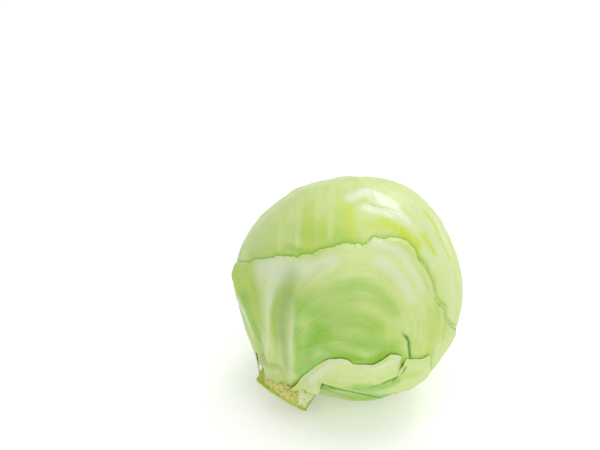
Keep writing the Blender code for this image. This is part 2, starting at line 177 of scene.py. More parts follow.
def lengths_along(path):
    """How far along a line each of its points lies."""
    steps = np.linalg.norm(np.diff(path, axis=0), axis=1)
    return np.concatenate([[0.0], np.cumsum(steps)])


def points_along(path, lengths):
    """The points that lie some lengths along a line."""
    starts = lengths_along(path)
    return np.stack([np.interp(lengths, starts, path[:, i]) for i in range(3)], axis=1)


def even_path(places, count):
    """Unit vectors evenly spaced along a smooth line through places on the head."""
    path = unit(smooth_path(direction(*zip(*places)), PLACE_STEPS))
    return unit(points_along(path, np.linspace(0.0, lengths_along(path)[-1], count)))


def distance_to_path(points, path):
    """Each point's distance to a line, and how far along the line that is, from 0 to 1."""
    best = np.full(len(points), np.inf)
    along = np.zeros(len(points))
    starts = lengths_along(path)
    for start, end, passed in zip(path, path[1:], starts):
        side = end - start
        length = np.linalg.norm(side)
        t = np.clip((points - start) @ side / length**2, 0.0, 1.0)
        away = np.linalg.norm(points - start - t[:, None] * side, axis=1)
        nearer = away < best
        best[nearer] = away[nearer]
        along[nearer] = (passed + t[nearer] * length) / starts[-1]
    return best, along


def puckers(points, size, seed):
    """Smooth unevenness from -1 to 1, with bumps of a size in millimetres."""
    shift = Vector((seed * 7.3, seed * 3.1, seed * 5.7))
    return np.array([noise.noise(Vector(point) / size + shift) for point in points])


class Rib:
    """A rib that swells a leaf's outer face along a path from the stem, thinning as it goes."""

    def __init__(self, places, height, width):
        self.places = places
        self.path = HEAD_RADIUS * unit(smooth_path(direction(*zip(*places)), RIB_PLACE_STEPS))
        self.height = height
        self.width = width

    def relief(self, dirs):
        away, along = distance_to_path(HEAD_RADIUS * dirs, self.path)
        half_width = self.width * (1.0 - RIB_TAPER * along)
        return self.height * (1.0 - along) * smooth_step(1.0 - away / half_width)


class Stroke:
    """A vein, crease or patch of colour along a path of unit vectors, with half widths at both ends."""

    def __init__(self, path, widths, amount=0.0, relief=0.0):
        self.path = path
        self.widths = widths
        self.amount = amount
        self.relief = relief

    def trace(self, dirs):
        """Which points lie near the stroke, and how near to its middle each is, from 0 to 1."""
        middle = unit(self.path.mean(axis=0))
        extent = math.acos(np.clip((self.path @ middle).min(), -1.0, 1.0))
        extent = min(math.pi, extent + 1.2 * max(self.widths) / HEAD_RADIUS)
        near = np.nonzero(dirs @ middle > math.cos(extent))[0]
        away, along = distance_to_path(HEAD_RADIUS * dirs[near], HEAD_RADIUS * self.path)
        half_width = self.widths[0] + (self.widths[1] - self.widths[0]) * along
        return near, smooth_step(1.0 - away / half_width), along


def painted(strokes, dirs):
    """How strongly each point is covered by strokes, which build up on one another toward 1."""
    bare = np.ones(len(dirs))
    for stroke in strokes:
        near, crown, along = stroke.trace(dirs)
        bare[near] *= 1.0 - stroke.amount * crown
    return 1.0 - bare


def raised(strokes, dirs):
    """Relief in millimetres from veins, each sinking toward its tip, and from grooves."""
    high = np.zeros(len(dirs))
    low = np.zeros(len(dirs))
    for stroke in strokes:
        near, crown, along = stroke.trace(dirs)
        relief = stroke.relief * crown * (1.0 - 0.6 * along)
        high[near] = np.maximum(high[near], relief)
        low[near] = np.minimum(low[near], relief)
    return high + low


def strokes_at(rows):
    """Strokes from rows of places, half widths at both ends, an amount and, for a crease, a relief."""
    return [Stroke(even_path(places, STROKE_STEPS), *rest) for places, *rest in rows]


def guide_veins(guides, widths, amount, relief):
    """The guide veins themselves as strokes."""
    return [Stroke(even_path(places, VEIN_STEPS), widths, amount, relief) for places in guides]


def veins_between(guides, count, strength, draw):
    """Fine veins that run between neighbouring guide veins, each drawn at random."""
    paths = [even_path(places, VEIN_STEPS) for places in guides]
    veins = []
    for number in range(count):
        position = (number + draw.uniform(0.0, 1.0)) * (len(paths) - 1) / count
        lower = min(int(position), len(paths) - 2)
        share = position - lower
        path = paths[lower] * (1.0 - share) + paths[lower + 1] * share
        first = int(draw.uniform(0, 9))
        last = int(draw.uniform(17, VEIN_STEPS))
        sway = draw.uniform(0.4, 1.4)
        swing = np.linspace(0, draw.uniform(3, 8), VEIN_STEPS)
        wave = sway * np.sin(swing + draw.uniform(0, 6))
        across = np.cross(path, np.gradient(path, axis=0))
        path = unit(path + unit(across) * wave[:, None] / HEAD_RADIUS)[first:last]
        width = draw.uniform(1.4, 4.5)
        amount = strength * draw.uniform(0.08, 0.3)
        relief = strength * draw.uniform(0.02, 0.1)
        veins.append(Stroke(path, (width, 0.5 * width), amount, relief))
    return veins


def branch(path, share, side, reach, onward, sideways, bend):
    """A short line that leaves a path part of the way along it, to one side, and bends along it."""
    index = min(int(share * (len(path) - 1)), len(path) - 2)
    start = path[index]
    along = unit(path[index + 1] - start)
    out = np.cross(start, along) * side
    t = np.linspace(0.0, 1.0, BRANCH_STEPS)[:, None]
    return unit(start + reach * (t * (onward * along + sideways * out) + bend * t * t * along))


def side_twigs(veins, spacing, length, draw):
    """Short veins that leave longer ones by turns to either side and bend along them."""
    twigs = []
    side = 1.0
    for vein in veins:
        whole = HEAD_RADIUS * lengths_along(vein.path)[-1]
        for share in np.arange(draw.uniform(0.05, 0.2), 0.92, spacing / whole):
            angle = math.radians(draw.uniform(35, 60))
            reach = length * draw.uniform(0.5, 1.2) / HEAD_RADIUS
            path = branch(vein.path, share, side, reach, math.cos(angle), math.sin(angle), 0.4)
            twigs.append(Stroke(path, (1.1, 0.7), draw.uniform(0.05, 0.2), draw.uniform(0.02, 0.06)))
            side = -side
    return twigs


def laterals(midrib, shares, reach, draw):
    """Guide veins as rows of places, leaving a midrib to both sides and bending toward its tip."""
    path = even_path(midrib, MIDRIB_STEPS)
    sides = []
    for side in (-1.0, 1.0):
        rows = []
        for share in shares:
            length = reach * draw.uniform(0.9, 1.1) / HEAD_RADIUS
            points = branch(path, share, side, length, 0.55, 0.83, 0.35)
            rows.append(list(zip(turn_of(points), fall_of(points))))
        sides.append(rows)
    return sides


class Leaf:
    """One leaf. Its edge is a list of places, seen from its middle as reach against bearing."""

    def __init__(self, name, slot, middle, edge, ribs, cells, ragged, lift, seed):
        self.name = name
        self.slot = slot
        self.ribs = [Rib(*rib) for rib in ribs]
        self.cells = cells
        self.lift = lift
        self.seed = seed
        self.middle = direction(*middle)
        azimuth = math.radians(middle[0] + FRONT)
        polar = math.radians(middle[1])
        self.toward_stem = np.array([
            math.cos(polar) * math.cos(azimuth), math.cos(polar) * math.sin(azimuth), -math.sin(polar)
        ])
        self.toward_turn = np.array([-math.sin(azimuth), math.cos(azimuth), 0.0])
        bearings, reaches = self.locate(direction(*zip(*edge)))
        order = np.argsort(bearings)
        self.bearings = bearings[order]
        self.reaches = reaches[order]
        self.broad = self.broad_outline()
        self.roughen(ragged, np.random.default_rng(seed))

    def roughen(self, ragged, draw):
        """Draws the edge's waves in degrees and its frills in millimetres, each as number of swings, size
        and phase, and its nicks as bearing, width and depth."""
        self.waves = [(k, ragged * draw.uniform(0.3, 0.7), draw.uniform(0, 2 * math.pi))
                      for k in range(6, 24, 3)]
        self.frills = [(k, draw.uniform(0.3, 1.0) * 9.0 / k, draw.uniform(0, 2 * math.pi))
                       for k in range(37, 240, 13)]
        self.nicks = [(draw.uniform(-math.pi, math.pi), draw.uniform(0.006, 0.016), draw.uniform(0.5, 1.6))
                      for _ in range(26)]

    def locate(self, dirs):
        """Bearing from the way to the stem, and reach from the middle, of unit vectors."""
        bearing = np.arctan2(dirs @ self.toward_turn, dirs @ self.toward_stem)
        return bearing, np.arccos(np.clip(dirs @ self.middle, -1.0, 1.0))

    def place(self, bearing, reach):
        """The unit vectors at a bearing and reach from the middle."""
        side = np.cos(bearing)[:, None] * self.toward_stem + np.sin(bearing)[:, None] * self.toward_turn
        return np.cos(reach)[:, None] * self.middle + np.sin(reach)[:, None] * side

    def outline(self, bearing):
        """The edge's reach as it is drawn, before it is waved or meets the stem."""
        return np.interp(bearing, self.bearings, self.reaches, period=2 * math.pi)

    def waved_outline(self, bearing):
        """The edge's reach with its waves."""
        wave = sum(size * np.sin(k * bearing + phase) for k, size, phase in self.waves)
        return self.outline(bearing) + np.radians(wave)

    def torn_outline(self, bearing):
        """The edge's reach with its waves, fine frills and nicks."""
        frill = sum(size * np.sin(k * bearing + phase) for k, size, phase in self.frills)
        for centre, width, depth in self.nicks:
            away = (bearing - centre + math.pi) % (2 * math.pi) - math.pi
            frill = frill - depth * np.exp(-(away / width) ** 2)
        return self.waved_outline(bearing) + frill / HEAD_RADIUS

    def broad_outline(self):
        """A few harmonics of the edge, set out far enough to hold all of it."""
        bearing = np.linspace(-math.pi, math.pi, 256, endpoint=False)
        reach = self.outline(bearing)
        harmonics = np.fft.rfft(reach)
        harmonics[6:] = 0.0
        smooth = np.fft.irfft(harmonics, len(reach))
        return bearing, smooth + max(0.0, np.max(reach - smooth))

    def cover(self, dirs):
        """1 where the leaf lies, falling to 0 over the width in which the next leaf drapes over it."""
        bearing, reach = self.locate(dirs)
        beyond = reach - np.interp(bearing, *self.broad, period=2 * math.pi)
        return smooth_step(1.0 - HEAD_RADIUS * beyond / DRAPE_WIDTH)

    def outside(self, dirs):
        """How far outside the edge each point is, in millimetres, and negative inside it."""
        bearing, reach = self.locate(dirs)
        return HEAD_RADIUS * (reach - self.torn_outline(bearing))

    def rib_relief(self, dirs):
        relief = np.zeros(len(dirs))
        for rib in self.ribs:
            relief = np.maximum(relief, rib.relief(dirs))
        return relief

    def stem_reach(self, bearing, stem_fall):
        """How far the leaf can reach before it meets the stem's side."""
        a = self.middle[2]
        b = np.cos(bearing) * self.toward_stem[2]
        size = np.hypot(a, b)
        swing = np.arccos(np.clip(math.cos(stem_fall) / size, -1.0, 1.0))
        tilt = np.arctan2(b, a)
        first = np.minimum((tilt - swing) % (2 * math.pi), (tilt + swing) % (2 * math.pi))
        return np.where(size > abs(math.cos(stem_fall)), first, math.pi)

    def lay_out(self, u, v, stem_fall):
        """Where a square's points fall on the head, and how far inside the edge each one is."""
        x = u * np.sqrt(1.0 - v * v / 2)
        y = v * np.sqrt(1.0 - u * u / 2)
        bearing = np.arctan2(y, x)
        full = np.minimum(self.torn_outline(bearing), self.stem_reach(bearing, stem_fall))
        share = np.hypot(x, y)
        return self.place(bearing, share * full), HEAD_RADIUS * full * (1.0 - share)


class Strip(Leaf):
    """A torn leaf that runs as a strip from the stem, between a lower edge and an upper one."""

    def __init__(self, name, slot, middle, lower, upper, ribs, cells, lift, seed):
        super().__init__(name, slot, middle, lower + upper[::-1], ribs, cells, 0.0, lift, seed)
        self.lower = lower
        self.upper = upper

    def outside(self, dirs):
        """How far from the nearest edge each point is, as nothing shows beneath the strip itself."""
        away = np.full(len(dirs), np.inf)
        for edge in (self.lower, self.upper):
            path = HEAD_RADIUS * direction(*zip(*edge))
            away = np.minimum(away, distance_to_path(HEAD_RADIUS * dirs, path)[0])
        return away

    def edge_at(self, edge, share, stem_fall, phase):
        """The unit vectors at shares of the way along one finely ragged edge from the stem's side."""
        turns, falls = np.array(edge, float).T
        falls[0] = math.degrees(stem_fall)
        dirs = direction(turns, falls)
        found = points_along(dirs, share * lengths_along(dirs)[-1])
        frill = 0.18 * np.sin(95 * share + phase) + 0.12 * np.sin(173 * share + 2 * phase)
        found[:, 2] += frill / HEAD_RADIUS
        return unit(found)

    def lay_out(self, u, v, stem_fall):
        lower = self.edge_at(self.lower, (u + 1) / 2, stem_fall, 0.7)
        upper = self.edge_at(self.upper, (u + 1) / 2, stem_fall, 2.9)
        across = ((v + 1) / 2)[:, None]
        dirs = unit(lower * (1.0 - across) + upper * across)
        fall = np.minimum(np.arccos(dirs[:, 2]), stem_fall)
        flat = dirs[:, :2] / np.hypot(dirs[:, 0], dirs[:, 1])[:, None]
        dirs = np.column_stack([flat * np.sin(fall)[:, None], np.cos(fall)])
        width = HEAD_RADIUS * np.linalg.norm(upper - lower, axis=1)
        return dirs, width * (1.0 - np.abs(v)) / 2


# Leaves from the innermost to the outermost, on the places of the part's source, but for the lower
# right leaf's corner at the stem, which is up to a degree or so off them
LEAVES = [
    Leaf(
        "leaf_top", "pale_leaf", middle=(-106, 34),
        edge=[
            (-146, 165), (-76, 165), (-72, 150), (-66, 135), (-60, 122), (-50, 113), (-36, 105),
            (-22, 96), (-10, 87), (2, 80), (16, 77), (30, 79), (45, 86), (60, 91), (78, 94), (95, 92),
            (108, 85), (118, 75), (132, 62), (150, 52), (172, 46), (-168, 50), (-152, 64), (-150, 85),
            (-154, 105), (-155, 130), (-151, 150),
        ],
        ribs=[
            ([(-112, 163), (-110, 130), (-108, 95), (-104, 60), (-96, 34)], 4.5, 12.0),
            ([(-108, 100), (-92, 84), (-72, 78), (-52, 82)], 0.9, 8.0),
            ([(-105, 70), (-80, 58), (-52, 58), (-28, 66)], 0.9, 8.0),
            ([(-98, 38), (-50, 32), (-10, 42), (10, 58)], 0.8, 8.0),
            ([(-110, 92), (-128, 74), (-148, 62)], 1.2, 8.0),
        ],
        cells=(190, 190), ragged=3.4, lift=[(1.2, (172, 46), 60)], seed=3,
    ),
    Leaf(
        "leaf_back", "green_leaf", middle=(178, 118),
        edge=[
            (140, 165), (128, 150), (122, 130), (118, 110), (122, 92), (135, 78), (152, 68), (175, 63),
            (-165, 64), (-148, 72), (-136, 86), (-128, 105), (-126, 130), (-130, 150), (-140, 165),
        ],
        ribs=[
            ([(178, 163), (176, 140), (178, 115), (-177, 90), (-172, 68)], 5.0, 13.0),
            ([(177, 120), (164, 100), (148, 88), (134, 84)], 1.7, 7.0),
            ([(180, 108), (-166, 92), (-152, 84)], 1.7, 7.0),
        ],
        cells=(130, 130), ragged=2.4, lift=[(1.8, (178, 66), 50)], seed=8,
    ),
    Leaf(
        "leaf_left", "green_leaf", middle=(-105, 130),
        edge=[
            (-150, 165), (-160, 140), (-162, 120), (-155, 104), (-140, 98), (-120, 101), (-100, 109),
            (-84, 116), (-66, 121), (-56, 131), (-50, 145), (-50, 165),
        ],
        ribs=[
            ([(-95, 163), (-98, 145), (-105, 125), (-112, 102)], 4.5, 12.0),
            ([(-99, 140), (-116, 124), (-138, 112)], 1.6, 7.0),
        ],
        cells=(120, 120), ragged=1.8, lift=[(1.6, (-140, 104), 45)], seed=5,
    ),
    Leaf(
        "leaf_under", "green_leaf", middle=(98, 130),
        edge=[
            (28, 165), (24, 150), (24, 142), (30, 136), (42, 130), (56, 124), (70, 118), (84, 112),
            (98, 104), (112, 93), (128, 87), (146, 89), (162, 98), (171, 115), (170, 138), (160, 152),
            (144, 165),
        ],
        ribs=[
            ([(94, 163), (94, 145), (99, 125), (109, 98)], 4.5, 12.0),
            ([(94, 140), (114, 126), (138, 112)], 1.4, 7.0),
        ],
        cells=(130, 130), ragged=1.8, lift=[(1.6, (132, 90), 45)], seed=11,
    ),
    Leaf(
        "leaf_front", "green_leaf", middle=(5, 105),
        edge=[
            (12, 165), (15, 150), (18, 140), (26, 134), (34, 128), (44, 122), (56, 118), (70, 113),
            (84, 108), (94, 103), (102, 94), (94, 82), (76, 76.5), (66, 76.5), (57, 75), (54, 71.5),
            (47, 70.5), (43, 69.5), (38, 63), (34, 60), (24, 56.5), (20, 53.5), (15, 53.5), (5, 55),
            (1, 58), (-3, 60.5), (-4, 66), (-13, 70.5), (-18.4, 76.5), (-24, 83), (-28, 86.5),
            (-29, 88.5), (-35, 90.5), (-47, 97), (-54, 100.5), (-56, 103), (-67, 105.5), (-76, 108),
            (-76, 113), (-65, 121), (-60, 127), (-58, 134.5), (-59, 144.5), (-63, 152), (-68, 165),
        ],
        ribs=[
            ([(2, 163), (-3, 148), (-11, 130), (-15.5, 114), (-19.5, 103), (-23, 91)], 4.5, 13.0),
            ([(-46, 163), (-39, 150), (-33.5, 130), (-36.5, 109), (-40, 99)], 3.4, 11.0),
            ([(-18, 108), (-14, 88), (-5, 76), (6, 69), (18, 66), (31, 68), (44, 76), (54, 88)], 2.0, 7.0),
            ([(-15, 118), (-11, 96), (-2, 82), (10, 75), (22, 75), (34, 81), (42, 92)], 1.8, 7.0),
        ],
        cells=(200, 200), ragged=0.5, lift=[(1.2, (20, 55), 40), (0.8, (-70, 108), 25)], seed=2,
    ),
    Strip(
        "leaf_lower_right", "pale_leaf", middle=(42, 121),
        lower=[
            (52, 166), (43, 158), (34, 151), (26.5, 145), (22, 141), (20.8, 138.9), (24, 137.5),
            (31, 137.2), (37, 134.5), (44, 132), (55, 127), (68, 121), (77, 118), (86, 117), (94, 116),
            (100, 113),
        ],
        upper=[
            (8, 166), (8, 152), (7, 146), (9, 136.5), (10, 131), (11.5, 126), (13, 123), (17, 119.5),
            (21, 118), (25, 118.5), (29, 116.5), (34, 113), (36, 107.5), (37, 103.5), (41, 102), (44, 102),
            (46, 104.5), (52, 107.5), (49, 104), (47.5, 102), (51, 100.5), (57, 97.5), (59, 95), (62, 95),
            (67, 98), (80, 101), (91, 105), (101, 113),
        ],
        ribs=[([(30, 163), (23, 150), (25, 135), (38, 122), (56, 116)], 3.0, 10.0)],
        cells=(260, 76), lift=[(1.2, (28, 114), 20)], seed=7,
    ),
]

# Guide veins between which the finer veins of a leaf run, in fans that each start at the midrib
FRONT_ARCS = [
    [(-26, 92), (-20, 82), (-9, 69), (4, 61), (20, 59.5), (36, 63), (50, 73), (60, 84), (70, 100)],
    [(-22, 100), (-20.4, 93), (-10.8, 78), (2.5, 68), (15.5, 64), (30.8, 68), (43.9, 75.6), (55, 90)],
    [(-18, 110), (-16.5, 104), (-10.3, 87), (1.6, 75.6), (14.9, 74), (28.9, 77), (40.9, 84.5), (48, 96)],
    [(-16, 120), (-13, 105), (-5, 92), (5, 83), (15, 80.5), (27, 83), (36, 90), (43, 101)],
    [(-13, 132), (-7, 118), (0, 106), (8, 97), (17, 93), (27, 96), (35, 104), (40, 115)],
    [(-11, 145), (-5, 134), (3, 123), (12, 114), (23, 111), (33, 114)],
]
FRONT_LEFT = [
    [(-27, 150), (-33, 130), (-40, 113), (-46, 101)],
    [(-38, 148), (-41, 127), (-46, 113), (-53, 103)],
    [(-47, 149), (-49, 130), (-54, 116), (-62, 107)],
    [(-52, 150), (-56, 138), (-62, 126), (-70, 113)],
]
TOP_FRONT = [
    [(-109, 118), (-92, 112), (-72, 112), (-56, 114)],
    [(-108, 98), (-90, 88), (-66, 88), (-47, 95), (-38, 103)],
    [(-106, 80), (-85, 72), (-61, 74), (-47, 83), (-38.7, 92), (-32, 100)],
    [(-102, 55), (-75, 50), (-47, 63), (-36, 73), (-28, 83), (-22, 93)],
    [(-95, 33), (-65, 36), (-44, 49), (-29, 62), (-20, 73), (-13, 84)],
    [(-80, 20), (-35, 30), (-12, 45), (-1, 58), (4, 70), (5, 79)],
    [(-40, 16), (0, 28), (16, 44), (22, 60), (25, 77)],
    [(20, 17), (33, 38), (42, 52), (48.5, 64), (52, 82)],
    [(50, 27), (50, 46), (57, 59), (64, 67), (70, 88)],
    [(78, 40), (80, 56), (86, 70), (90, 88)],
]
TOP_BACK = [
    [(-110, 120), (-128, 112), (-150, 110)],
    [(-108, 98), (-126, 90), (-148, 86)],
    [(-106, 78), (-126, 68), (-149, 66)],
    [(-102, 52), (-130, 46), (-163, 51)],
    [(-94, 30), (-145, 28), (176, 42)],
    [(-70, 18), (150, 20), (146, 52)],
    [(30, 16), (105, 32), (124, 66)],
    [(80, 42), (98, 55), (106, 82)],
]
HEAD_FANS = [
    [
        [(136, 100), (120, 96), (104, 100)], [(135, 84), (118, 80), (98, 88)],
        [(136, 70), (116, 62), (94, 72)], [(138, 50), (112, 44), (90, 54)],
    ],
    [
        [(138, 104), (152, 98), (170, 104)], [(138, 86), (152, 78), (172, 80)],
        [(139, 68), (156, 58), (-178, 60)], [(140, 48), (164, 40), (-168, 46)],
    ],
]

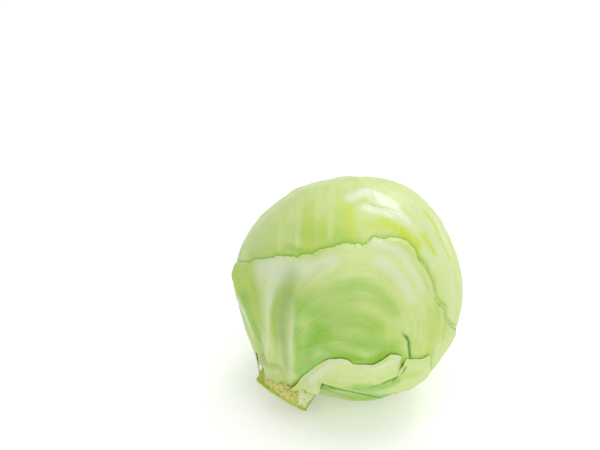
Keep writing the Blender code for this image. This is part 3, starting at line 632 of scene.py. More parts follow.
# Strokes of colour on each leaf, painted shade and highlights among them, in the order in which they are
# laid over one another: places, half widths at both ends and amount, and the relief of some creases
TINT_KINDS = ("deep", "yellow", "pale", "white", "patch", "painted_highlight", "channel", "teal", "crease")
TINTS = {
    "leaf_front": {
        "white": [
            ([(-44, 101.5), (-31, 96), (-20, 88.5), (-12.9, 81)], (16.5, 9), 0.8),
            ([(-36, 94.5), (-34, 104.5), (-33, 115)], (16, 6), 0.65),
            ([(-33, 112), (-32, 127.5), (-33, 140), (-38, 152), (-44, 163)], (3, 2.4), 0.65),
            ([(-16, 112), (-12, 127), (-9.3, 136), (-4.2, 145)], (2.2, 2.0), 0.35),
            ([(-1.9, 64), (10.8, 60.5), (22, 64), (31, 69.5)], (6, 5), 0.7),
            ([(5.4, 69), (17.9, 70.5), (29, 76)], (8, 6.5), 0.75),
            ([(0, 62), (13, 60)], (4, 3), 0.5),
        ],
        "pale": [
            ([(-15.1, 79.5), (-8.6, 71), (0.6, 62), (12, 60.5), (22, 63.5)], (10.5, 10.5), 0.65),
            ([(-5.6, 77), (4.8, 67), (19.2, 67.5), (33, 75)], (13.5, 12), 0.6),
            ([(20, 66), (32, 72), (40, 80)], (9, 7), 0.5),
            ([(-29, 140), (-26, 152), (-26, 163)], (13.5, 12), 0.5),
            ([(-22, 94.5), (-7.9, 86), (3.9, 73)], (12, 7.5), 0.4),
            ([(18, 75), (32, 80.5), (43, 89)], (6.5, 6), 0.3),
        ],
        "yellow": [
            ([(-70, 109), (-62, 122), (-57, 138), (-62, 153)], (26, 16), 0.95),
            ([(-53, 106), (-46, 117.5), (-42, 131)], (17, 12), 0.6),
            ([(-29, 112), (-27, 128), (-25, 145)], (5, 5), 0.4),
            ([(46, 72.5), (52, 84), (58, 95.5)], (9.5, 7.5), 0.5),
            ([(54, 73), (62, 84.5)], (4.5, 3.5), 0.6),
            ([(20, 95.5), (30, 97.5), (37, 102.5)], (10.5, 7.5), 0.35),
            ([(39, 92.5), (51, 94.5)], (6, 6), 0.3),
        ],
        "deep": [
            ([(-10.4, 107), (0.2, 104), (9.6, 99), (21, 97)], (15, 13.5), 0.6),
            ([(0, 115.5), (13.3, 110.5), (25, 105.5), (36, 100.5)], (15, 10.5), 0.65),
            ([(5.2, 142.5), (0, 127.5), (0, 113)], (8.5, 11.5), 0.85),
            ([(7.2, 119), (18.5, 117), (30, 113.5), (34, 105.5)], (8.5, 6), 0.85),
            ([(-16.3, 104), (-8.2, 97), (2.3, 91)], (14, 12), 0.35),
            ([(-4, 88), (10.3, 84), (24, 85)], (11, 9), 0.4),
            ([(0, 84), (10.3, 81.5), (21, 83)], (6, 5), 0.25),
            ([(-10.1, 118), (-4.4, 130.5), (1.8, 144)], (7.5, 5), 0.5),
            ([(-54, 122), (-49, 131), (-45, 140), (-41, 150)], (14, 8), 0.8),
            ([(-48, 110), (-42, 118), (-38, 130)], (9, 6), 0.3),
            ([(-30, 108), (-28, 123.5), (-25, 139), (-26, 152)], (4.5, 4), 0.45),
            ([(-17, 105), (-12, 119), (-6, 131), (0, 142)], (4.5, 4), 0.45),
            ([(-57, 150), (-60, 162)], (5, 4), 0.7),
            # Green painted along the lower right leaf's upper edge, as shade below it
            ([(2.3, 142.5), (10, 122), (20, 116.5), (32, 112), (35, 104)], (3.5, 3.5), 0.8),
        ],
        "teal": [
            ([(6.5, 131), (10.3, 121.5)], (4.5, 3.5), 0.7),
            ([(4.9, 144.5), (8.2, 134.5)], (4.5, 3.5), 0.7),
        ],
        # Painted shade in the channel between the front leaf's two ribs, where the leaf also sinks a little
        "channel": [
            ([(-26, 98), (-24, 111), (-22, 122), (-18, 133), (-12, 145)], (13, 9), 0.45),
            ([(-24, 106), (-23, 118), (-20, 130)], (9, 8), 0.4),
        ],
        # Dark lines painted just inside the front leaf's right edge, as shade along it
        "crease": [
            ([(24, 57.5), (34, 61), (38, 64), (43, 70.5), (47, 71.5)], (1.2, 1.4), 0.45),
            ([(47, 71.5), (54, 72.5), (57, 76), (66, 77.5), (76, 78)], (1.4, 1.4), 0.6),
            ([(76, 78), (85, 80.5), (94, 83.5), (100, 92)], (1.2, 1.0), 0.3),
        ],
    },
    "leaf_top": {
        # Painted highlights: near-white strokes where the back right light glints off the top leaf's wax
        "painted_highlight": [
            ([(-30, 47), (-31, 37.5)], (8, 5), 0.6),
            ([(-26, 38.5), (-16.8, 36), (-3.7, 35.5)], (10, 6), 0.6),
            ([(-19, 48), (-10.3, 46), (-1.4, 44)], (6, 3), 0.65),
            ([(-14, 41), (0, 38.5), (10, 40)], (9, 5), 0.5),
        ],
        "white": [
            ([(-83, 100.5), (-69, 83.5), (-68, 65), (-73, 50), (-66, 35.5)], (6, 4.5), 0.5),
            # The next three strokes, and the thin one at (-1.6, 42.5), are painted highlights; the other
            # white strokes are whitish veins and bloom
            ([(-30, 46), (-31, 37.5)], (4.5, 3), 0.85),
            ([(-17.1, 47.5), (-10.3, 46), (-1.4, 44)], (3.5, 2), 0.75),
            ([(-2, 39.5), (8.2, 40.5), (20, 42)], (4, 3), 0.7),
            ([(20, 38), (28, 44), (35, 52)], (4, 3), 0.55),
            ([(46, 27), (51, 35.5), (54, 44)], (5, 4), 0.6),
            ([(-37, 42.5), (-28, 53.5)], (4, 3), 0.5),
            ([(-1, 23), (21, 27), (35, 34.5)], (5, 4), 0.5),
            ([(-1.6, 42.5), (6.5, 42.5), (13.4, 43)], (2, 2), 0.6),
            ([(-8, 29), (15, 32), (32, 40), (42, 50)], (9, 8), 0.4),
            ([(-3, 44.5), (9.5, 44), (23, 47.5), (36, 56)], (6, 5), 0.45),
            ([(46, 42), (55, 53), (62, 64)], (8, 6), 0.35),
        ],
        "pale": [
            ([(-58, 63), (-42, 73.5), (-33, 83.5)], (3.5, 3), 0.5),
            ([(-50, 53.5), (-34, 66.5)], (4.5, 3), 0.45),
            ([(-51, 46.5), (-31, 60.5), (-22, 71)], (4.5, 3), 0.5),
            ([(-70, 54), (-58, 45.5), (-45, 38.5)], (7.5, 6), 0.6),
            ([(40, 52), (55, 62), (66, 75.5)], (13.5, 9), 0.7),
            ([(-45, 38.5), (-23, 25), (18, 21.5), (51, 29.5), (58, 43)], (19, 13.5), 0.75),
            # A pale glow painted round the highlights
            ([(-18.4, 52), (-4.6, 46.5), (9.5, 43.5), (23, 47)], (10.5, 9), 0.7),
            ([(-60, 71.5), (-47, 82.5), (-41, 91)], (3.5, 3.5), 0.3),
            ([(-61, 84), (-53, 93)], (3, 3), 0.25),
        ],
        "yellow": [
            ([(-45, 64), (-35, 72.5), (-29, 80)], (9, 9), 0.4),
            ([(-28, 68), (-22, 74), (-12, 68)], (20, 16), 0.35),
            ([(-27, 58), (-18, 66)], (10, 9), 0.35),
            ([(66, 32.5), (65, 46)], (3.5, 3), 0.5),
            ([(80, 40), (76, 58), (82, 73)], (2.5, 2), 0.55),
            ([(140, 50), (170, 40)], (14, 12), 0.4),
        ],
        "patch": [
            ([(-12.8, 57), (-7.6, 55), (-2.9, 54)], (4, 4), 0.45),
            ([(-2.9, 49.5), (3, 49), (8.1, 48.5), (16.2, 48), (22, 49.5)], (8, 7), 0.8),
            ([(14, 54), (24, 56.5), (34, 61.5)], (3.5, 3), 0.7),
            ([(29, 27), (36, 29), (41, 32.5)], (6.5, 5), 0.8),
            ([(26, 43.5), (31, 46), (36, 48.5)], (6.5, 5), 0.8),
            ([(43, 36), (50, 41.5), (55, 46)], (5, 4.5), 0.7),
            ([(64, 35), (68, 41)], (3.5, 3), 0.6),
            ([(-29, 52), (-20, 58), (-14.8, 64)], (8, 8), 0.6),
            ([(11.9, 50.5), (19.7, 53), (26, 57), (34, 62)], (5, 3.5), 0.7),
            ([(-38, 70), (-32, 75), (-28, 81)], (5, 5), 0.3),
            ([(-30, 68), (-23, 76.5)], (5, 5), 0.3),
        ],
        "deep": [
            ([(-58, 100), (-46, 92.5), (-32, 86.5)], (9, 7.5), 0.25),
            ([(-37, 86), (-27, 83.5), (-20, 78), (-13, 71)], (4, 4), 0.45),
            ([(-37, 78), (-26, 73), (-15, 66)], (14, 11), 0.25),
            ([(-80, 100), (-70, 112)], (12, 12), 0.4),
        ],
        "teal": [([(-60, 94), (-49, 82), (-43, 77)], (14, 10), 0.15)],
        # Grooves painted dark round the highlights, as shade in them
        "crease": [
            ([(-17.9, 44.5), (-11.7, 42.5), (-3.2, 40), (2.9, 39)], (1.2, 0.8), 0.35, -0.5),
            ([(-20, 31), (-10.4, 31), (-1.7, 31)], (1, 0.7), 0.2, -0.3),
            ([(27, 38), (29, 43)], (0.9, 0.6), 0.3, -0.2),
        ],
    },
    "leaf_lower_right": {
        "pale": [
            ([(12, 135), (18.8, 125.5), (31, 121), (41, 112), (44, 105)], (15, 10.5), 0.7),
            ([(50, 105), (57, 100.5), (69, 97.5)], (9, 7.5), 0.15),
        ],
        "white": [
            ([(14.2, 141.5), (14, 131.5), (15.2, 122.5), (21, 117.5)], (7.5, 5), 0.65),
            ([(22, 118), (30, 117), (36, 113.5), (41, 106.5)], (4.5, 3.5), 0.6),
            ([(38, 102), (43, 104)], (3, 3), 0.7),
        ],
        "yellow": [
            ([(24, 134.5), (34, 128.5), (42, 122.5)], (5, 4.5), 0.45),
            ([(59, 109), (64, 105.5)], (6, 5), 0.4),
        ],
        "deep": [
            ([(40, 129), (48, 123.5), (55, 114)], (8, 7), 0.7),
            ([(36, 133), (50, 128), (64, 121.5), (78, 117.5)], (5, 5), 0.55),
            # Dark green painted along the fold, as shade in it
            ([(45, 124), (50, 116), (53, 110), (51, 105)], (2.4, 2.0), 0.9),
        ],
        # Painted shade in the fold between flap and blade, and a painted shadow line along the blade's lower
        # edge
        "crease": [
            ([(48, 118), (52.5, 112.5), (53.5, 109), (51.5, 105.5)], (1.3, 1.1), 0.7, -0.4),
            ([(59, 124), (64, 121), (69, 118.5), (77, 114)], (2.0, 1.4), 0.75),
        ],
    },
    "leaf_under": {
        "pale": [([(94, 150), (100, 125), (112, 100)], (9, 6), 0.4)],
        "yellow": [([(130, 120), (140, 105)], (14, 10), 0.35)],
        "deep": [
            ([(80, 140), (104, 132), (128, 110)], (18, 14), 0.4),
            ([(26, 146), (43, 150), (57, 143), (66, 130), (80, 119)], (18, 12), 0.75),
        ],
        # Painted shadow under the lower right leaf's edge: a dark wedge and a line
        "crease": [
            ([(23, 142), (28, 142.5), (36, 142.5)], (5, 3), 0.9),
            (
                [(33, 143), (39, 141), (46, 137.5), (52, 134.5), (58, 131.5), (66, 129), (76, 125)],
                (2.6, 1.8), 0.9,
            ),
        ],
        # A painted teal sheen on the band
        "teal": [([(44, 150), (58, 143)], (3, 2), 0.5)],
        # Painted shade at the corner below the lower right leaf
        "channel": [([(29, 148), (41, 146)], (3, 2), 0.5)],
    },
    "leaf_left": {
        "deep": [
            ([(-92, 128), (-112, 140), (-132, 118)], (16, 14), 0.45),
            ([(-70, 108), (-67, 120), (-65, 128)], (9, 6), 0.6),
        ],
        "yellow": [([(-140, 132), (-146, 112)], (12, 10), 0.4), ([(-72, 110), (-66, 122)], (12, 10), 0.8)],
        "white": [([(-66, 131), (-62, 145), (-68, 162)], (7, 8), 0.6)],
    },
    "leaf_back": {
        "deep": [([(150, 110), (165, 92)], (16, 12), 0.6), ([(-160, 118), (-148, 98)], (16, 12), 0.5)],
        "pale": [([(178, 80), (-172, 70)], (14, 14), 0.4)],
        "yellow": [([(128, 120), (132, 96)], (9, 9), 0.4)],
    },
    "head": {
        "yellow": [([(110, 80), (120, 66)], (12, 12), 0.5)],
        "pale": [([(138, 110), (138, 50)], (14, 10), 0.5)],
    },
}

# The fans of leaves that have their own, each with how many finer veins run in it and how strong they
# are. The other leaves get one fan on each side of the midrib.
FANS = {
    "leaf_front": [(FRONT_ARCS, 16, 1.0), (FRONT_LEFT, 8, 1.0)],
    "leaf_top": [(TOP_FRONT, 40, 1.0), (TOP_BACK, 34, 2.0)],
}
LATERAL_SHARES = (0.18, 0.32, 0.46, 0.6, 0.74, 0.88)
LATERAL_REACH = 56.0
LATERAL_COUNT = 16
LATERAL_STRENGTH = 2.0
HEAD_MIDRIB = [(137, 165), (136, 120), (139, 80), (142, 40)]

# The run of the veins as coordinates: points along each guide, lines between two guides, millimetres
# between and along guides, how far apart fans are, and from how many points one is read
FLOW_STEPS = 40
FLOW_LINES = 8
FLOW_SPACING = 11.0
FLOW_LENGTH = 70.0
FLOW_APART = 1000.0
FLOW_NEAREST = 4

# How wide the painted shade is on a leaf below the edge of one above it, as a dark line and a green band,
# and how strong the line is below the edges of the lower right leaf
SHADE_LINE_WIDTH = 2.2
SHADE_BAND_WIDTH = 6.5
SHADE_LINE_UNDER_STRIP = 0.15

# A slit in the front leaf, whose left side stands up: its line, how far and how wide that side is
# lifted, how far the right side sinks as a share of that, and the slit's half width and depth
SLIT = [(33, 90.5), (35, 92), (39, 93), (42, 95), (46, 98), (49, 100), (52, 101.5)]
SLIT_STEPS = 24
SLIT_LIFT = 0.6
SLIT_LIFT_WIDTH = 9.0
SLIT_SINK_SHARE = 0.6
SLIT_HALF_WIDTH = 1.6
SLIT_DEPTH = 0.7

# How many rows and columns of points the head has, and its bumps as height, size and seed
HEAD_ROWS = 110
HEAD_COLUMNS = 180
HEAD_BUMPS = (0.3, 10.0, 31)


def nearness(dirs, place, spread):
    """1 at a place on the head, fading round it."""
    return np.exp(-(1.0 - dirs @ direction(*place)) / (1.0 - math.cos(math.radians(spread))))


def head_radius(dirs):
    """Radius of the dense head, swollen here, slimmer there and faintly uneven all round."""
    fall = fall_of(dirs)
    profile = smooth_path(HEAD_PROFILE, PLACE_STEPS)
    radius = HEAD_RADIUS * np.interp(fall, profile[:, 0], profile[:, 1])
    turn = np.arctan2(dirs[:, 1], dirs[:, 0])
    swell = sum(height * np.sin(k * turn + phase) for height, k, phase in UNEVENNESS)
    radius = radius + swell * np.sin(np.radians(fall)) ** 2
    for place, spread, height in SWELLS:
        radius = radius + height * nearness(dirs, place, spread)
    return radius


def layer_depth(dirs):
    """A leaf's thickness and the gap beneath it, which is wider near the stem."""
    return PITCH + STEM_END_SLACK * smooth_between(SLACK_FALLS, fall_of(dirs))


def surface_beneath(level, dirs):
    """Radius of what the leaf at this level lies on, with its gap still to come."""
    radius = head_radius(dirs)
    for leaf in LEAVES[:level]:
        radius = radius + leaf.cover(dirs) * (layer_depth(dirs) + leaf.rib_relief(dirs))
    return radius


def resting_limit(dirs):
    """Radius at which the surface that the cabbage lies on is met."""
    lean = math.radians(LEAN)
    down = np.array([math.sin(lean), 0.0, -math.cos(lean)])
    return CENTRE_HEIGHT / np.maximum(dirs @ down, 0.2)


def resting_dent(dirs):
    """How far everything is pressed in where the cabbage rests, so that it ends on a flat spot."""
    return np.maximum(0.0, surface_beneath(len(LEAVES), dirs) - resting_limit(dirs))


def edge_lift(level, dirs, inside):
    """How far a leaf's free edge stands off what it lies on."""
    leaf = LEAVES[level]
    free = np.ones(len(dirs))
    for above in LEAVES[level + 1:]:
        free = free * (1.0 - above.cover(dirs))
    free = free * (1.0 - smooth_between(LIFT_FALLS, fall_of(dirs)))
    ripple = 0.55 + 0.45 * np.sin(11 * np.arctan2(dirs[:, 1], dirs[:, 0]) + 8 * dirs[:, 2] + level)
    lift = np.zeros(len(dirs))
    for amount, place, spread in leaf.lift:
        lift = lift + amount * nearness(dirs, place, spread)
    return lift * ripple * free * smooth_step(1.0 - inside / LIFT_WIDTH)


def slit_step(dirs):
    """The lift beside the front leaf's slit, and how deep in the slit each point is."""
    path = even_path(SLIT, SLIT_STEPS)
    away, along = distance_to_path(HEAD_RADIUS * dirs, HEAD_RADIUS * path)
    index = np.clip((along * (SLIT_STEPS - 1)).round().astype(int), 0, SLIT_STEPS - 2)
    nearest = path[index]
    onward = path[index + 1] - nearest
    left = np.einsum("ij,ij->i", np.cross(nearest, onward), dirs - nearest) < 0
    window = smooth_step(along / 0.3) * smooth_step((1.0 - along) / 0.15)
    side = np.where(left, 1.0, -SLIT_SINK_SHARE)
    step = SLIT_LIFT * window * smooth_step(1.0 - away / SLIT_LIFT_WIDTH) * side
    return step, window * smooth_step(SLIT_HALF_WIDTH - away)


def to_row(points):
    """Points in millimetres about the head's centre, stem axis down, as points of the row in metres."""
    turn = Matrix.Rotation(math.radians(LEAN), 3, "Y")
    return (points @ np.array(turn).T + np.array([0.0, 0.0, CENTRE_HEIGHT])) * MM


def leaf_fans(leaf, draw):
    """The fans of guide veins of a leaf, with how many finer veins run in each and how strong they are."""
    if leaf.name in FANS:
        return FANS[leaf.name]
    sides = laterals(leaf.ribs[0].places, LATERAL_SHARES, LATERAL_REACH, draw)
    return [(guides, LATERAL_COUNT, LATERAL_STRENGTH) for guides in sides]


def leaf_veins(leaf, fans, draw):
    """All of a leaf's veins: its ribs as broad pale bands, the fine ones in fans, and their twigs."""
    bands = []
    for number, rib in enumerate(leaf.ribs):
        pale = 0.45 if number == 0 else 0.22
        widths = (0.8 * rib.width, 0.35 * rib.width)
        bands.append(Stroke(even_path(rib.places, RIB_STEPS), widths, pale))
    fine = []
    for guides, count, strength in fans:
        fine += guide_veins(guides, (4.5, 2.0), 0.16 * strength, 0.08 * strength)
        fine += veins_between(guides, count, strength, draw)
    return bands, fine, side_twigs(fine, 9.0, 7.0, draw)


def flow_samples(fans):
    """Points on and between guide veins, each with its fan, and how far across and along it lies."""
    samples = []
    for number, guides in enumerate(fans):
        paths = [even_path(places, FLOW_STEPS) for places in guides]
        for index, (lower, upper) in enumerate(zip(paths, paths[1:])):
            for share in np.linspace(0.0, 1.0, FLOW_LINES, endpoint=False):
                across = FLOW_SPACING * (index + share) + FLOW_APART * number
                for step, point in enumerate(unit(lower * (1.0 - share) + upper * share)):
                    samples.append((point, number, across, FLOW_LENGTH * step / FLOW_STEPS))
    return samples


def flow_fields(fans, dirs):
    """Rough millimetres across and along the run of the veins, for streaks that follow them."""
    samples = flow_samples(fans)
    tree = kdtree.KDTree(len(samples))
    for index, sample in enumerate(samples):
        tree.insert(sample[0], index)
    tree.balance()
    flow = np.empty((len(dirs), 2))
    for row, point in zip(flow, dirs):
        near = tree.find_n(point, FLOW_NEAREST)
        fan = samples[near[0][1]][1]
        weights = [(1.0 / (away * away + 1e-6), samples[index]) for _, index, away in near]
        weights = [(weight, sample) for weight, sample in weights if sample[1] == fan]
        total = sum(weight for weight, _ in weights)
        row[0] = sum(weight * sample[2] for weight, sample in weights) / total
        row[1] = sum(weight * sample[3] for weight, sample in weights) / total
    return {"across": flow[:, 0], "along": flow[:, 1]}


def tint_fields(name, dirs):
    """The strokes of colour of one leaf, by kind, and the relief of its creases."""
    tints = TINTS[name]
    fields = {kind: painted(strokes_at(tints.get(kind, [])), dirs) for kind in TINT_KINDS}
    return fields, raised(strokes_at(tints.get("crease", [])), dirs)


def shade_fields(level, dirs):
    """Painted shade on a leaf along the edges of the leaves above it: a dark line and a wider green band."""
    line = np.zeros(len(dirs))
    shade_band = np.zeros(len(dirs))
    for above in LEAVES[level + 1:]:
        beyond = above.outside(dirs)
        strength = SHADE_LINE_UNDER_STRIP if isinstance(above, Strip) else 1.0
        line = np.maximum(line, strength * smooth_step(1.0 - beyond / SHADE_LINE_WIDTH))
        shade_band = np.maximum(shade_band, smooth_step(1.0 - beyond / SHADE_BAND_WIDTH))
    return {"line": line, "shade_band": shade_band}


def set_fields(mesh, fields):
    """Stores numbers at each vertex by name, for the material to read."""
    for name, values in fields.items():
        field = mesh.attributes.new(name, "FLOAT", "POINT")
        field.data.foreach_set("value", np.asarray(values, dtype=np.float32))


def mesh_from(bm, name):
    """Turns an edited mesh into a finished one, given with its points."""
    mesh = bpy.data.meshes.new(name)
    bm.to_mesh(mesh)
    bm.free()
    points = np.empty(len(mesh.vertices) * 3)
    mesh.vertices.foreach_get("co", points)
    return mesh, points.reshape(-1, 3)


def place_vertices(mesh, points):
    """Moves a mesh's vertices to points and turns its faces outward from the head's centre."""
    mesh.vertices.foreach_set("co", points.ravel())
    mesh.update()
    face = mesh.polygons[len(mesh.polygons) // 2]
    if face.normal.dot(face.center - HEAD_CENTRE) < 0:
        mesh.flip_normals()


def add_piece(mesh, material, node):
    """Adds a mesh as a piece that stands for a CAD node."""
    mesh.materials.append(material)
    mesh.shade_smooth()
    piece = bpy.data.objects.new(mesh.name, mesh)
    bpy.context.scene.collection.objects.link(piece)
    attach(piece, "root")
    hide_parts(node)
    return piece


def thicken(piece, thickness, offset):
    """Gives a sheet a thickness in millimetres, inward for an offset of -1 and to both sides for 0."""
    shell = piece.modifiers.new("thickness", "SOLIDIFY")
    shell.thickness = thickness * MM
    shell.offset = offset
    return shell


def thicken_leaf(piece, thickness):
    """Thickens a leaf inward by its own thickness in millimetres at each vertex."""
    group = piece.vertex_groups.new(name="thickness")
    most = LEAF_THICKNESS + RIB_LIMIT
    for index, value in enumerate(thickness):
        group.add([index], value / most, "REPLACE")
    thicken(piece, most, -1.0).vertex_group = group.name


def base_fall(level):
    """The fall at which the leaf at this level runs into the stem's side, in radians."""
    leaf = LEAVES[level]
    start = leaf.place(np.zeros(1), leaf.stem_reach(np.zeros(1), math.radians(BASE_FALL)))
    return math.pi - math.asin((STEM_RADIUS - STEM_BITE) / surface_beneath(level, start)[0])


def draped_radius(level, dirs, inside, rib):
    """Radius of a leaf's outer face, smooth as yet, where it lies on what is beneath it."""
    fall = fall_of(dirs)
    radius = surface_beneath(level, dirs) + layer_depth(dirs) + rib
    radius = radius - resting_dent(dirs) + edge_lift(level, dirs, inside)
    away_from_stem = 1.0 - smooth_between(LIFT_FALLS, fall)
    radius = radius - MARGIN_SINK * away_from_stem * smooth_step(1.0 - inside / MARGIN_WIDTH)
    if LEAVES[level].name in BASE_SINKS:
        sink, falls, turns = BASE_SINKS[LEAVES[level].name]
        radius = radius - sink * smooth_between(falls, fall) * smooth_between(turns, turn_of(dirs))
    return radius


def make_leaf(level, material):
    """A fine leaf draped over what is beneath it, with its veins, puckers, slits and thin margin."""
    leaf = LEAVES[level]
    bm = bmesh.new()
    along, across = leaf.cells
    bmesh.ops.create_grid(bm, x_segments=along, y_segments=across, size=1.0)
    mesh, square = mesh_from(bm, leaf.name + "_skin")
    dirs, inside = leaf.lay_out(square[:, 0], square[:, 1], base_fall(level))
    rib = leaf.rib_relief(dirs)

    draw = np.random.default_rng(100 + leaf.seed)
    fans = leaf_fans(leaf, draw)
    bands, fine, twigs = leaf_veins(leaf, fans, draw)
    tints, crease = tint_fields(leaf.name, dirs)
    points = HEAD_RADIUS * dirs
    bumps = sum(height * puckers(points, size, level + seed) for height, size, seed in PUCKERS)
    radius = draped_radius(level, dirs, inside, rib)
    radius = radius + np.maximum(raised(fine, dirs), raised(twigs, dirs)) + crease + bumps
    radius = radius - CHANNEL_SINK * tints["channel"]
    if leaf.name == "leaf_front":
        step, gap = slit_step(dirs)
        radius = radius + step - SLIT_DEPTH * gap
        # The slit is painted dark, as shade in it
        tints["crease"] = np.maximum(tints["crease"], gap)
    radius = np.minimum(radius, resting_limit(dirs))
    place_vertices(mesh, to_row(radius[:, None] * dirs))

    set_fields(mesh, tints)
    set_fields(mesh, {
        "vein": np.maximum(painted(bands, dirs), painted(fine, dirs)),
        "twig": painted(twigs, dirs),
        "margin": smooth_step(1.0 - inside / PALE_MARGIN_WIDTH),
    })
    set_fields(mesh, flow_fields([guides for guides, _, _ in fans], dirs))
    set_fields(mesh, shade_fields(level, dirs))
    piece = add_piece(mesh, material, leaf.name)
    margin = MARGIN_THICKNESS + (LEAF_THICKNESS - MARGIN_THICKNESS) * smooth_step(inside / MARGIN_WIDTH)
    thicken_leaf(piece, margin + rib)


def make_head(material):
    """The dense inner head, whose outermost leaf shows between the outer ones at the back."""
    bm = bmesh.new()
    bmesh.ops.create_uvsphere(bm, u_segments=HEAD_COLUMNS, v_segments=HEAD_ROWS, radius=1.0)
    mesh, dirs = mesh_from(bm, "head_skin")
    dirs = unit(dirs)

    draw = np.random.default_rng(77)
    fine = []
    for guides in HEAD_FANS:
        fine += guide_veins(guides, (3.0, 1.2), 0.45, 0.35)
        fine += veins_between(guides, 22, 2.0, draw)
    veins = fine + [Stroke(even_path(HEAD_MIDRIB, RIB_STEPS), (8.0, 2.5), 0.8, 1.0)]
    tints, crease = tint_fields("head", dirs)
    height, size, seed = HEAD_BUMPS
    bumps = height * puckers(HEAD_RADIUS * dirs, size, seed)
    radius = head_radius(dirs) - resting_dent(dirs) + raised(veins, dirs) + crease + bumps - HEAD_SINK
    place_vertices(mesh, to_row(radius[:, None] * dirs))

    set_fields(mesh, tints)
    set_fields(mesh, {
        "vein": painted(veins, dirs),
        "twig": painted(side_twigs(fine, 8.0, 7.0, draw), dirs),
        "margin": np.zeros(len(dirs)),
    })
    set_fields(mesh, flow_fields(HEAD_FANS, dirs))
    set_fields(mesh, shade_fields(-1, dirs))
    add_piece(mesh, material, "head")


# Borders on the stem's side, as depths at turns: how far the front leaf's petiole and its fillet run
# down it, and the top and bottom of the leaf scar. White flesh lies right of the turns at these depths.
PETIOLE_END = [
    (-72, 72), (-62, 83), (-50, 85.6), (-27, 84.2), (-14, 82.2), (0, 80.9), (9, 78.8), (20, 78),
    (60, 78), (80, 72),
]
FILLET_END = [
    (-72, 74), (-62, 85.5), (-50, 88), (-27, 86.5), (-14, 83), (0, 81), (9, 80), (20, 80.5),
    (40, 80.5), (60, 79), (80, 72),
]
SCAR_TOP = [
    (-60, 88), (-54, 86), (-42, 84.6), (-27, 84.2), (-14, 82.2), (0, 80.9), (9, 78.8), (17, 79.2),
    (24, 81), (31, 84.8), (40, 91),
]
SCAR_LOW = [(-60, 85), (-52, 86.8), (-45, 87.8), (-36, 89), (-26, 90), (40, 90.1)]
WHITE_LEFT = [(76, 14), (79.2, 17), (81, 24), (84.8, 31), (90, 39)]
WHITE_RIGHT = 67.0
WHITE_LOW = 89.0
FUZZ_TURNS = (-82.0, -58.0)
FUZZ_DEPTHS = (78.0, 88.5)
PATCH_BLUR = 2.0
SCAR_BLUR = 1.2
MM_A_DEGREE = math.radians(STEM_RADIUS)

# The stem's skin: where it starts inside the head, how far its side lies inside the solid's before it
# swells, how its fillet rises, where its rim begins, its puckers as size and seed, and its points
NECK_TOP = STEM_TOP - 7.0
SIDE_INSET = 0.6
SIDE_SINK = 0.4
FILLET = 6.5
FILLET_DEPTH = 8.0
FILLET_MOST = 1.2
RIM_DEPTH = 90.7
STEM_PUCKERS = [(4.0, 1), (2.2, 2), (1.1, 3)]
SIDE_ROWS = 76
FACE_ROWS = 26
STEM_COLUMNS = 240

# A torn stalk's fibres: rows and columns of points, how far it narrows, and its bend and thickness
STALK_ROWS = 30
STALK_COLUMNS = 12
STALK_TAPER = 0.85
STALK_BEND = 0.3
STALK_THICKNESS = 0.9


def border(rows, at):
    """The border's value, between the rows that it is given by."""
    return np.interp(at, *zip(*rows))


def stem_patches(turn, depth, wobble):
    """Where the petiole, the leaf scar, the whitish flesh and the frayed skin lie on the stem's side."""
    petiole = smooth_step((border(PETIOLE_END, turn) - depth) / PATCH_BLUR + 0.5 + wobble)
    in_scar = np.minimum(depth - border(SCAR_TOP, turn), border(SCAR_LOW, turn) - depth)
    scar = smooth_step(in_scar / SCAR_BLUR + 0.5 + wobble) * (1.0 - petiole)
    in_white = np.minimum(turn - border(WHITE_LEFT, depth), WHITE_RIGHT - turn) * MM_A_DEGREE
    in_white = np.minimum(in_white, WHITE_LOW - depth)
    white = smooth_step(in_white / PATCH_BLUR + 0.5 + wobble) * (1.0 - scar)
    left, right = FUZZ_TURNS
    top, low = FUZZ_DEPTHS
    in_fuzz = np.minimum(turn - left, right - turn) * MM_A_DEGREE
    in_fuzz = np.minimum(in_fuzz, np.minimum(depth - top, low - depth))
    fuzz = smooth_step(in_fuzz / PATCH_BLUR + 0.5 + wobble) * (1.0 - petiole)
    return petiole, scar, white, fuzz


def scar_rows(azimuth, depth):
    """How far the rows of old leaf scars stand out of the stem's side."""
    rows = 0.0
    for middle, phase in SCAR_ROWS:
        row = np.exp(-((depth - middle) / SCAR_ROW_WIDTH) ** 2)
        rows = rows + SCAR_ROW_HEIGHT * row * (0.6 + 0.4 * np.sin(3 * azimuth + phase))
    return rows


def stem_mesh():
    """The stem's skin, still smooth: side, rounded rim and cut face turned round the axis."""
    side = [(STEM_RADIUS - SIDE_INSET, depth)
            for depth in np.linspace(NECK_TOP, STEM_REACH - STEM_RIM, SIDE_ROWS)]
    rim = [(STEM_RADIUS - STEM_RIM * (1.0 - math.cos(a)), STEM_REACH + STEM_RIM * math.sin(a))
           for a in np.radians([0, 30, 60, 90])]
    face = [(STEM_RADIUS * share, STEM_REACH + STEM_RIM) for share in np.linspace(0.94, 0.0, FACE_ROWS)]
    bm = bmesh.new()
    profile = [(0.0, NECK_TOP)] + side + rim + face
    verts = [bm.verts.new((radius, 0.0, -depth)) for radius, depth in profile]
    for a, b in zip(verts, verts[1:]):
        bm.edges.new((a, b))
    bmesh.ops.spin(
        bm, geom=bm.verts[:] + bm.edges[:], cent=(0, 0, 0), axis=(0, 0, 1), dvec=(0, 0, 0),
        angle=2 * math.pi, steps=STEM_COLUMNS, use_merge=True, use_duplicate=False,
    )
    bmesh.ops.remove_doubles(bm, verts=bm.verts, dist=0.01)
    bmesh.ops.recalc_face_normals(bm, faces=bm.faces)
    return mesh_from(bm, "stem_skin")


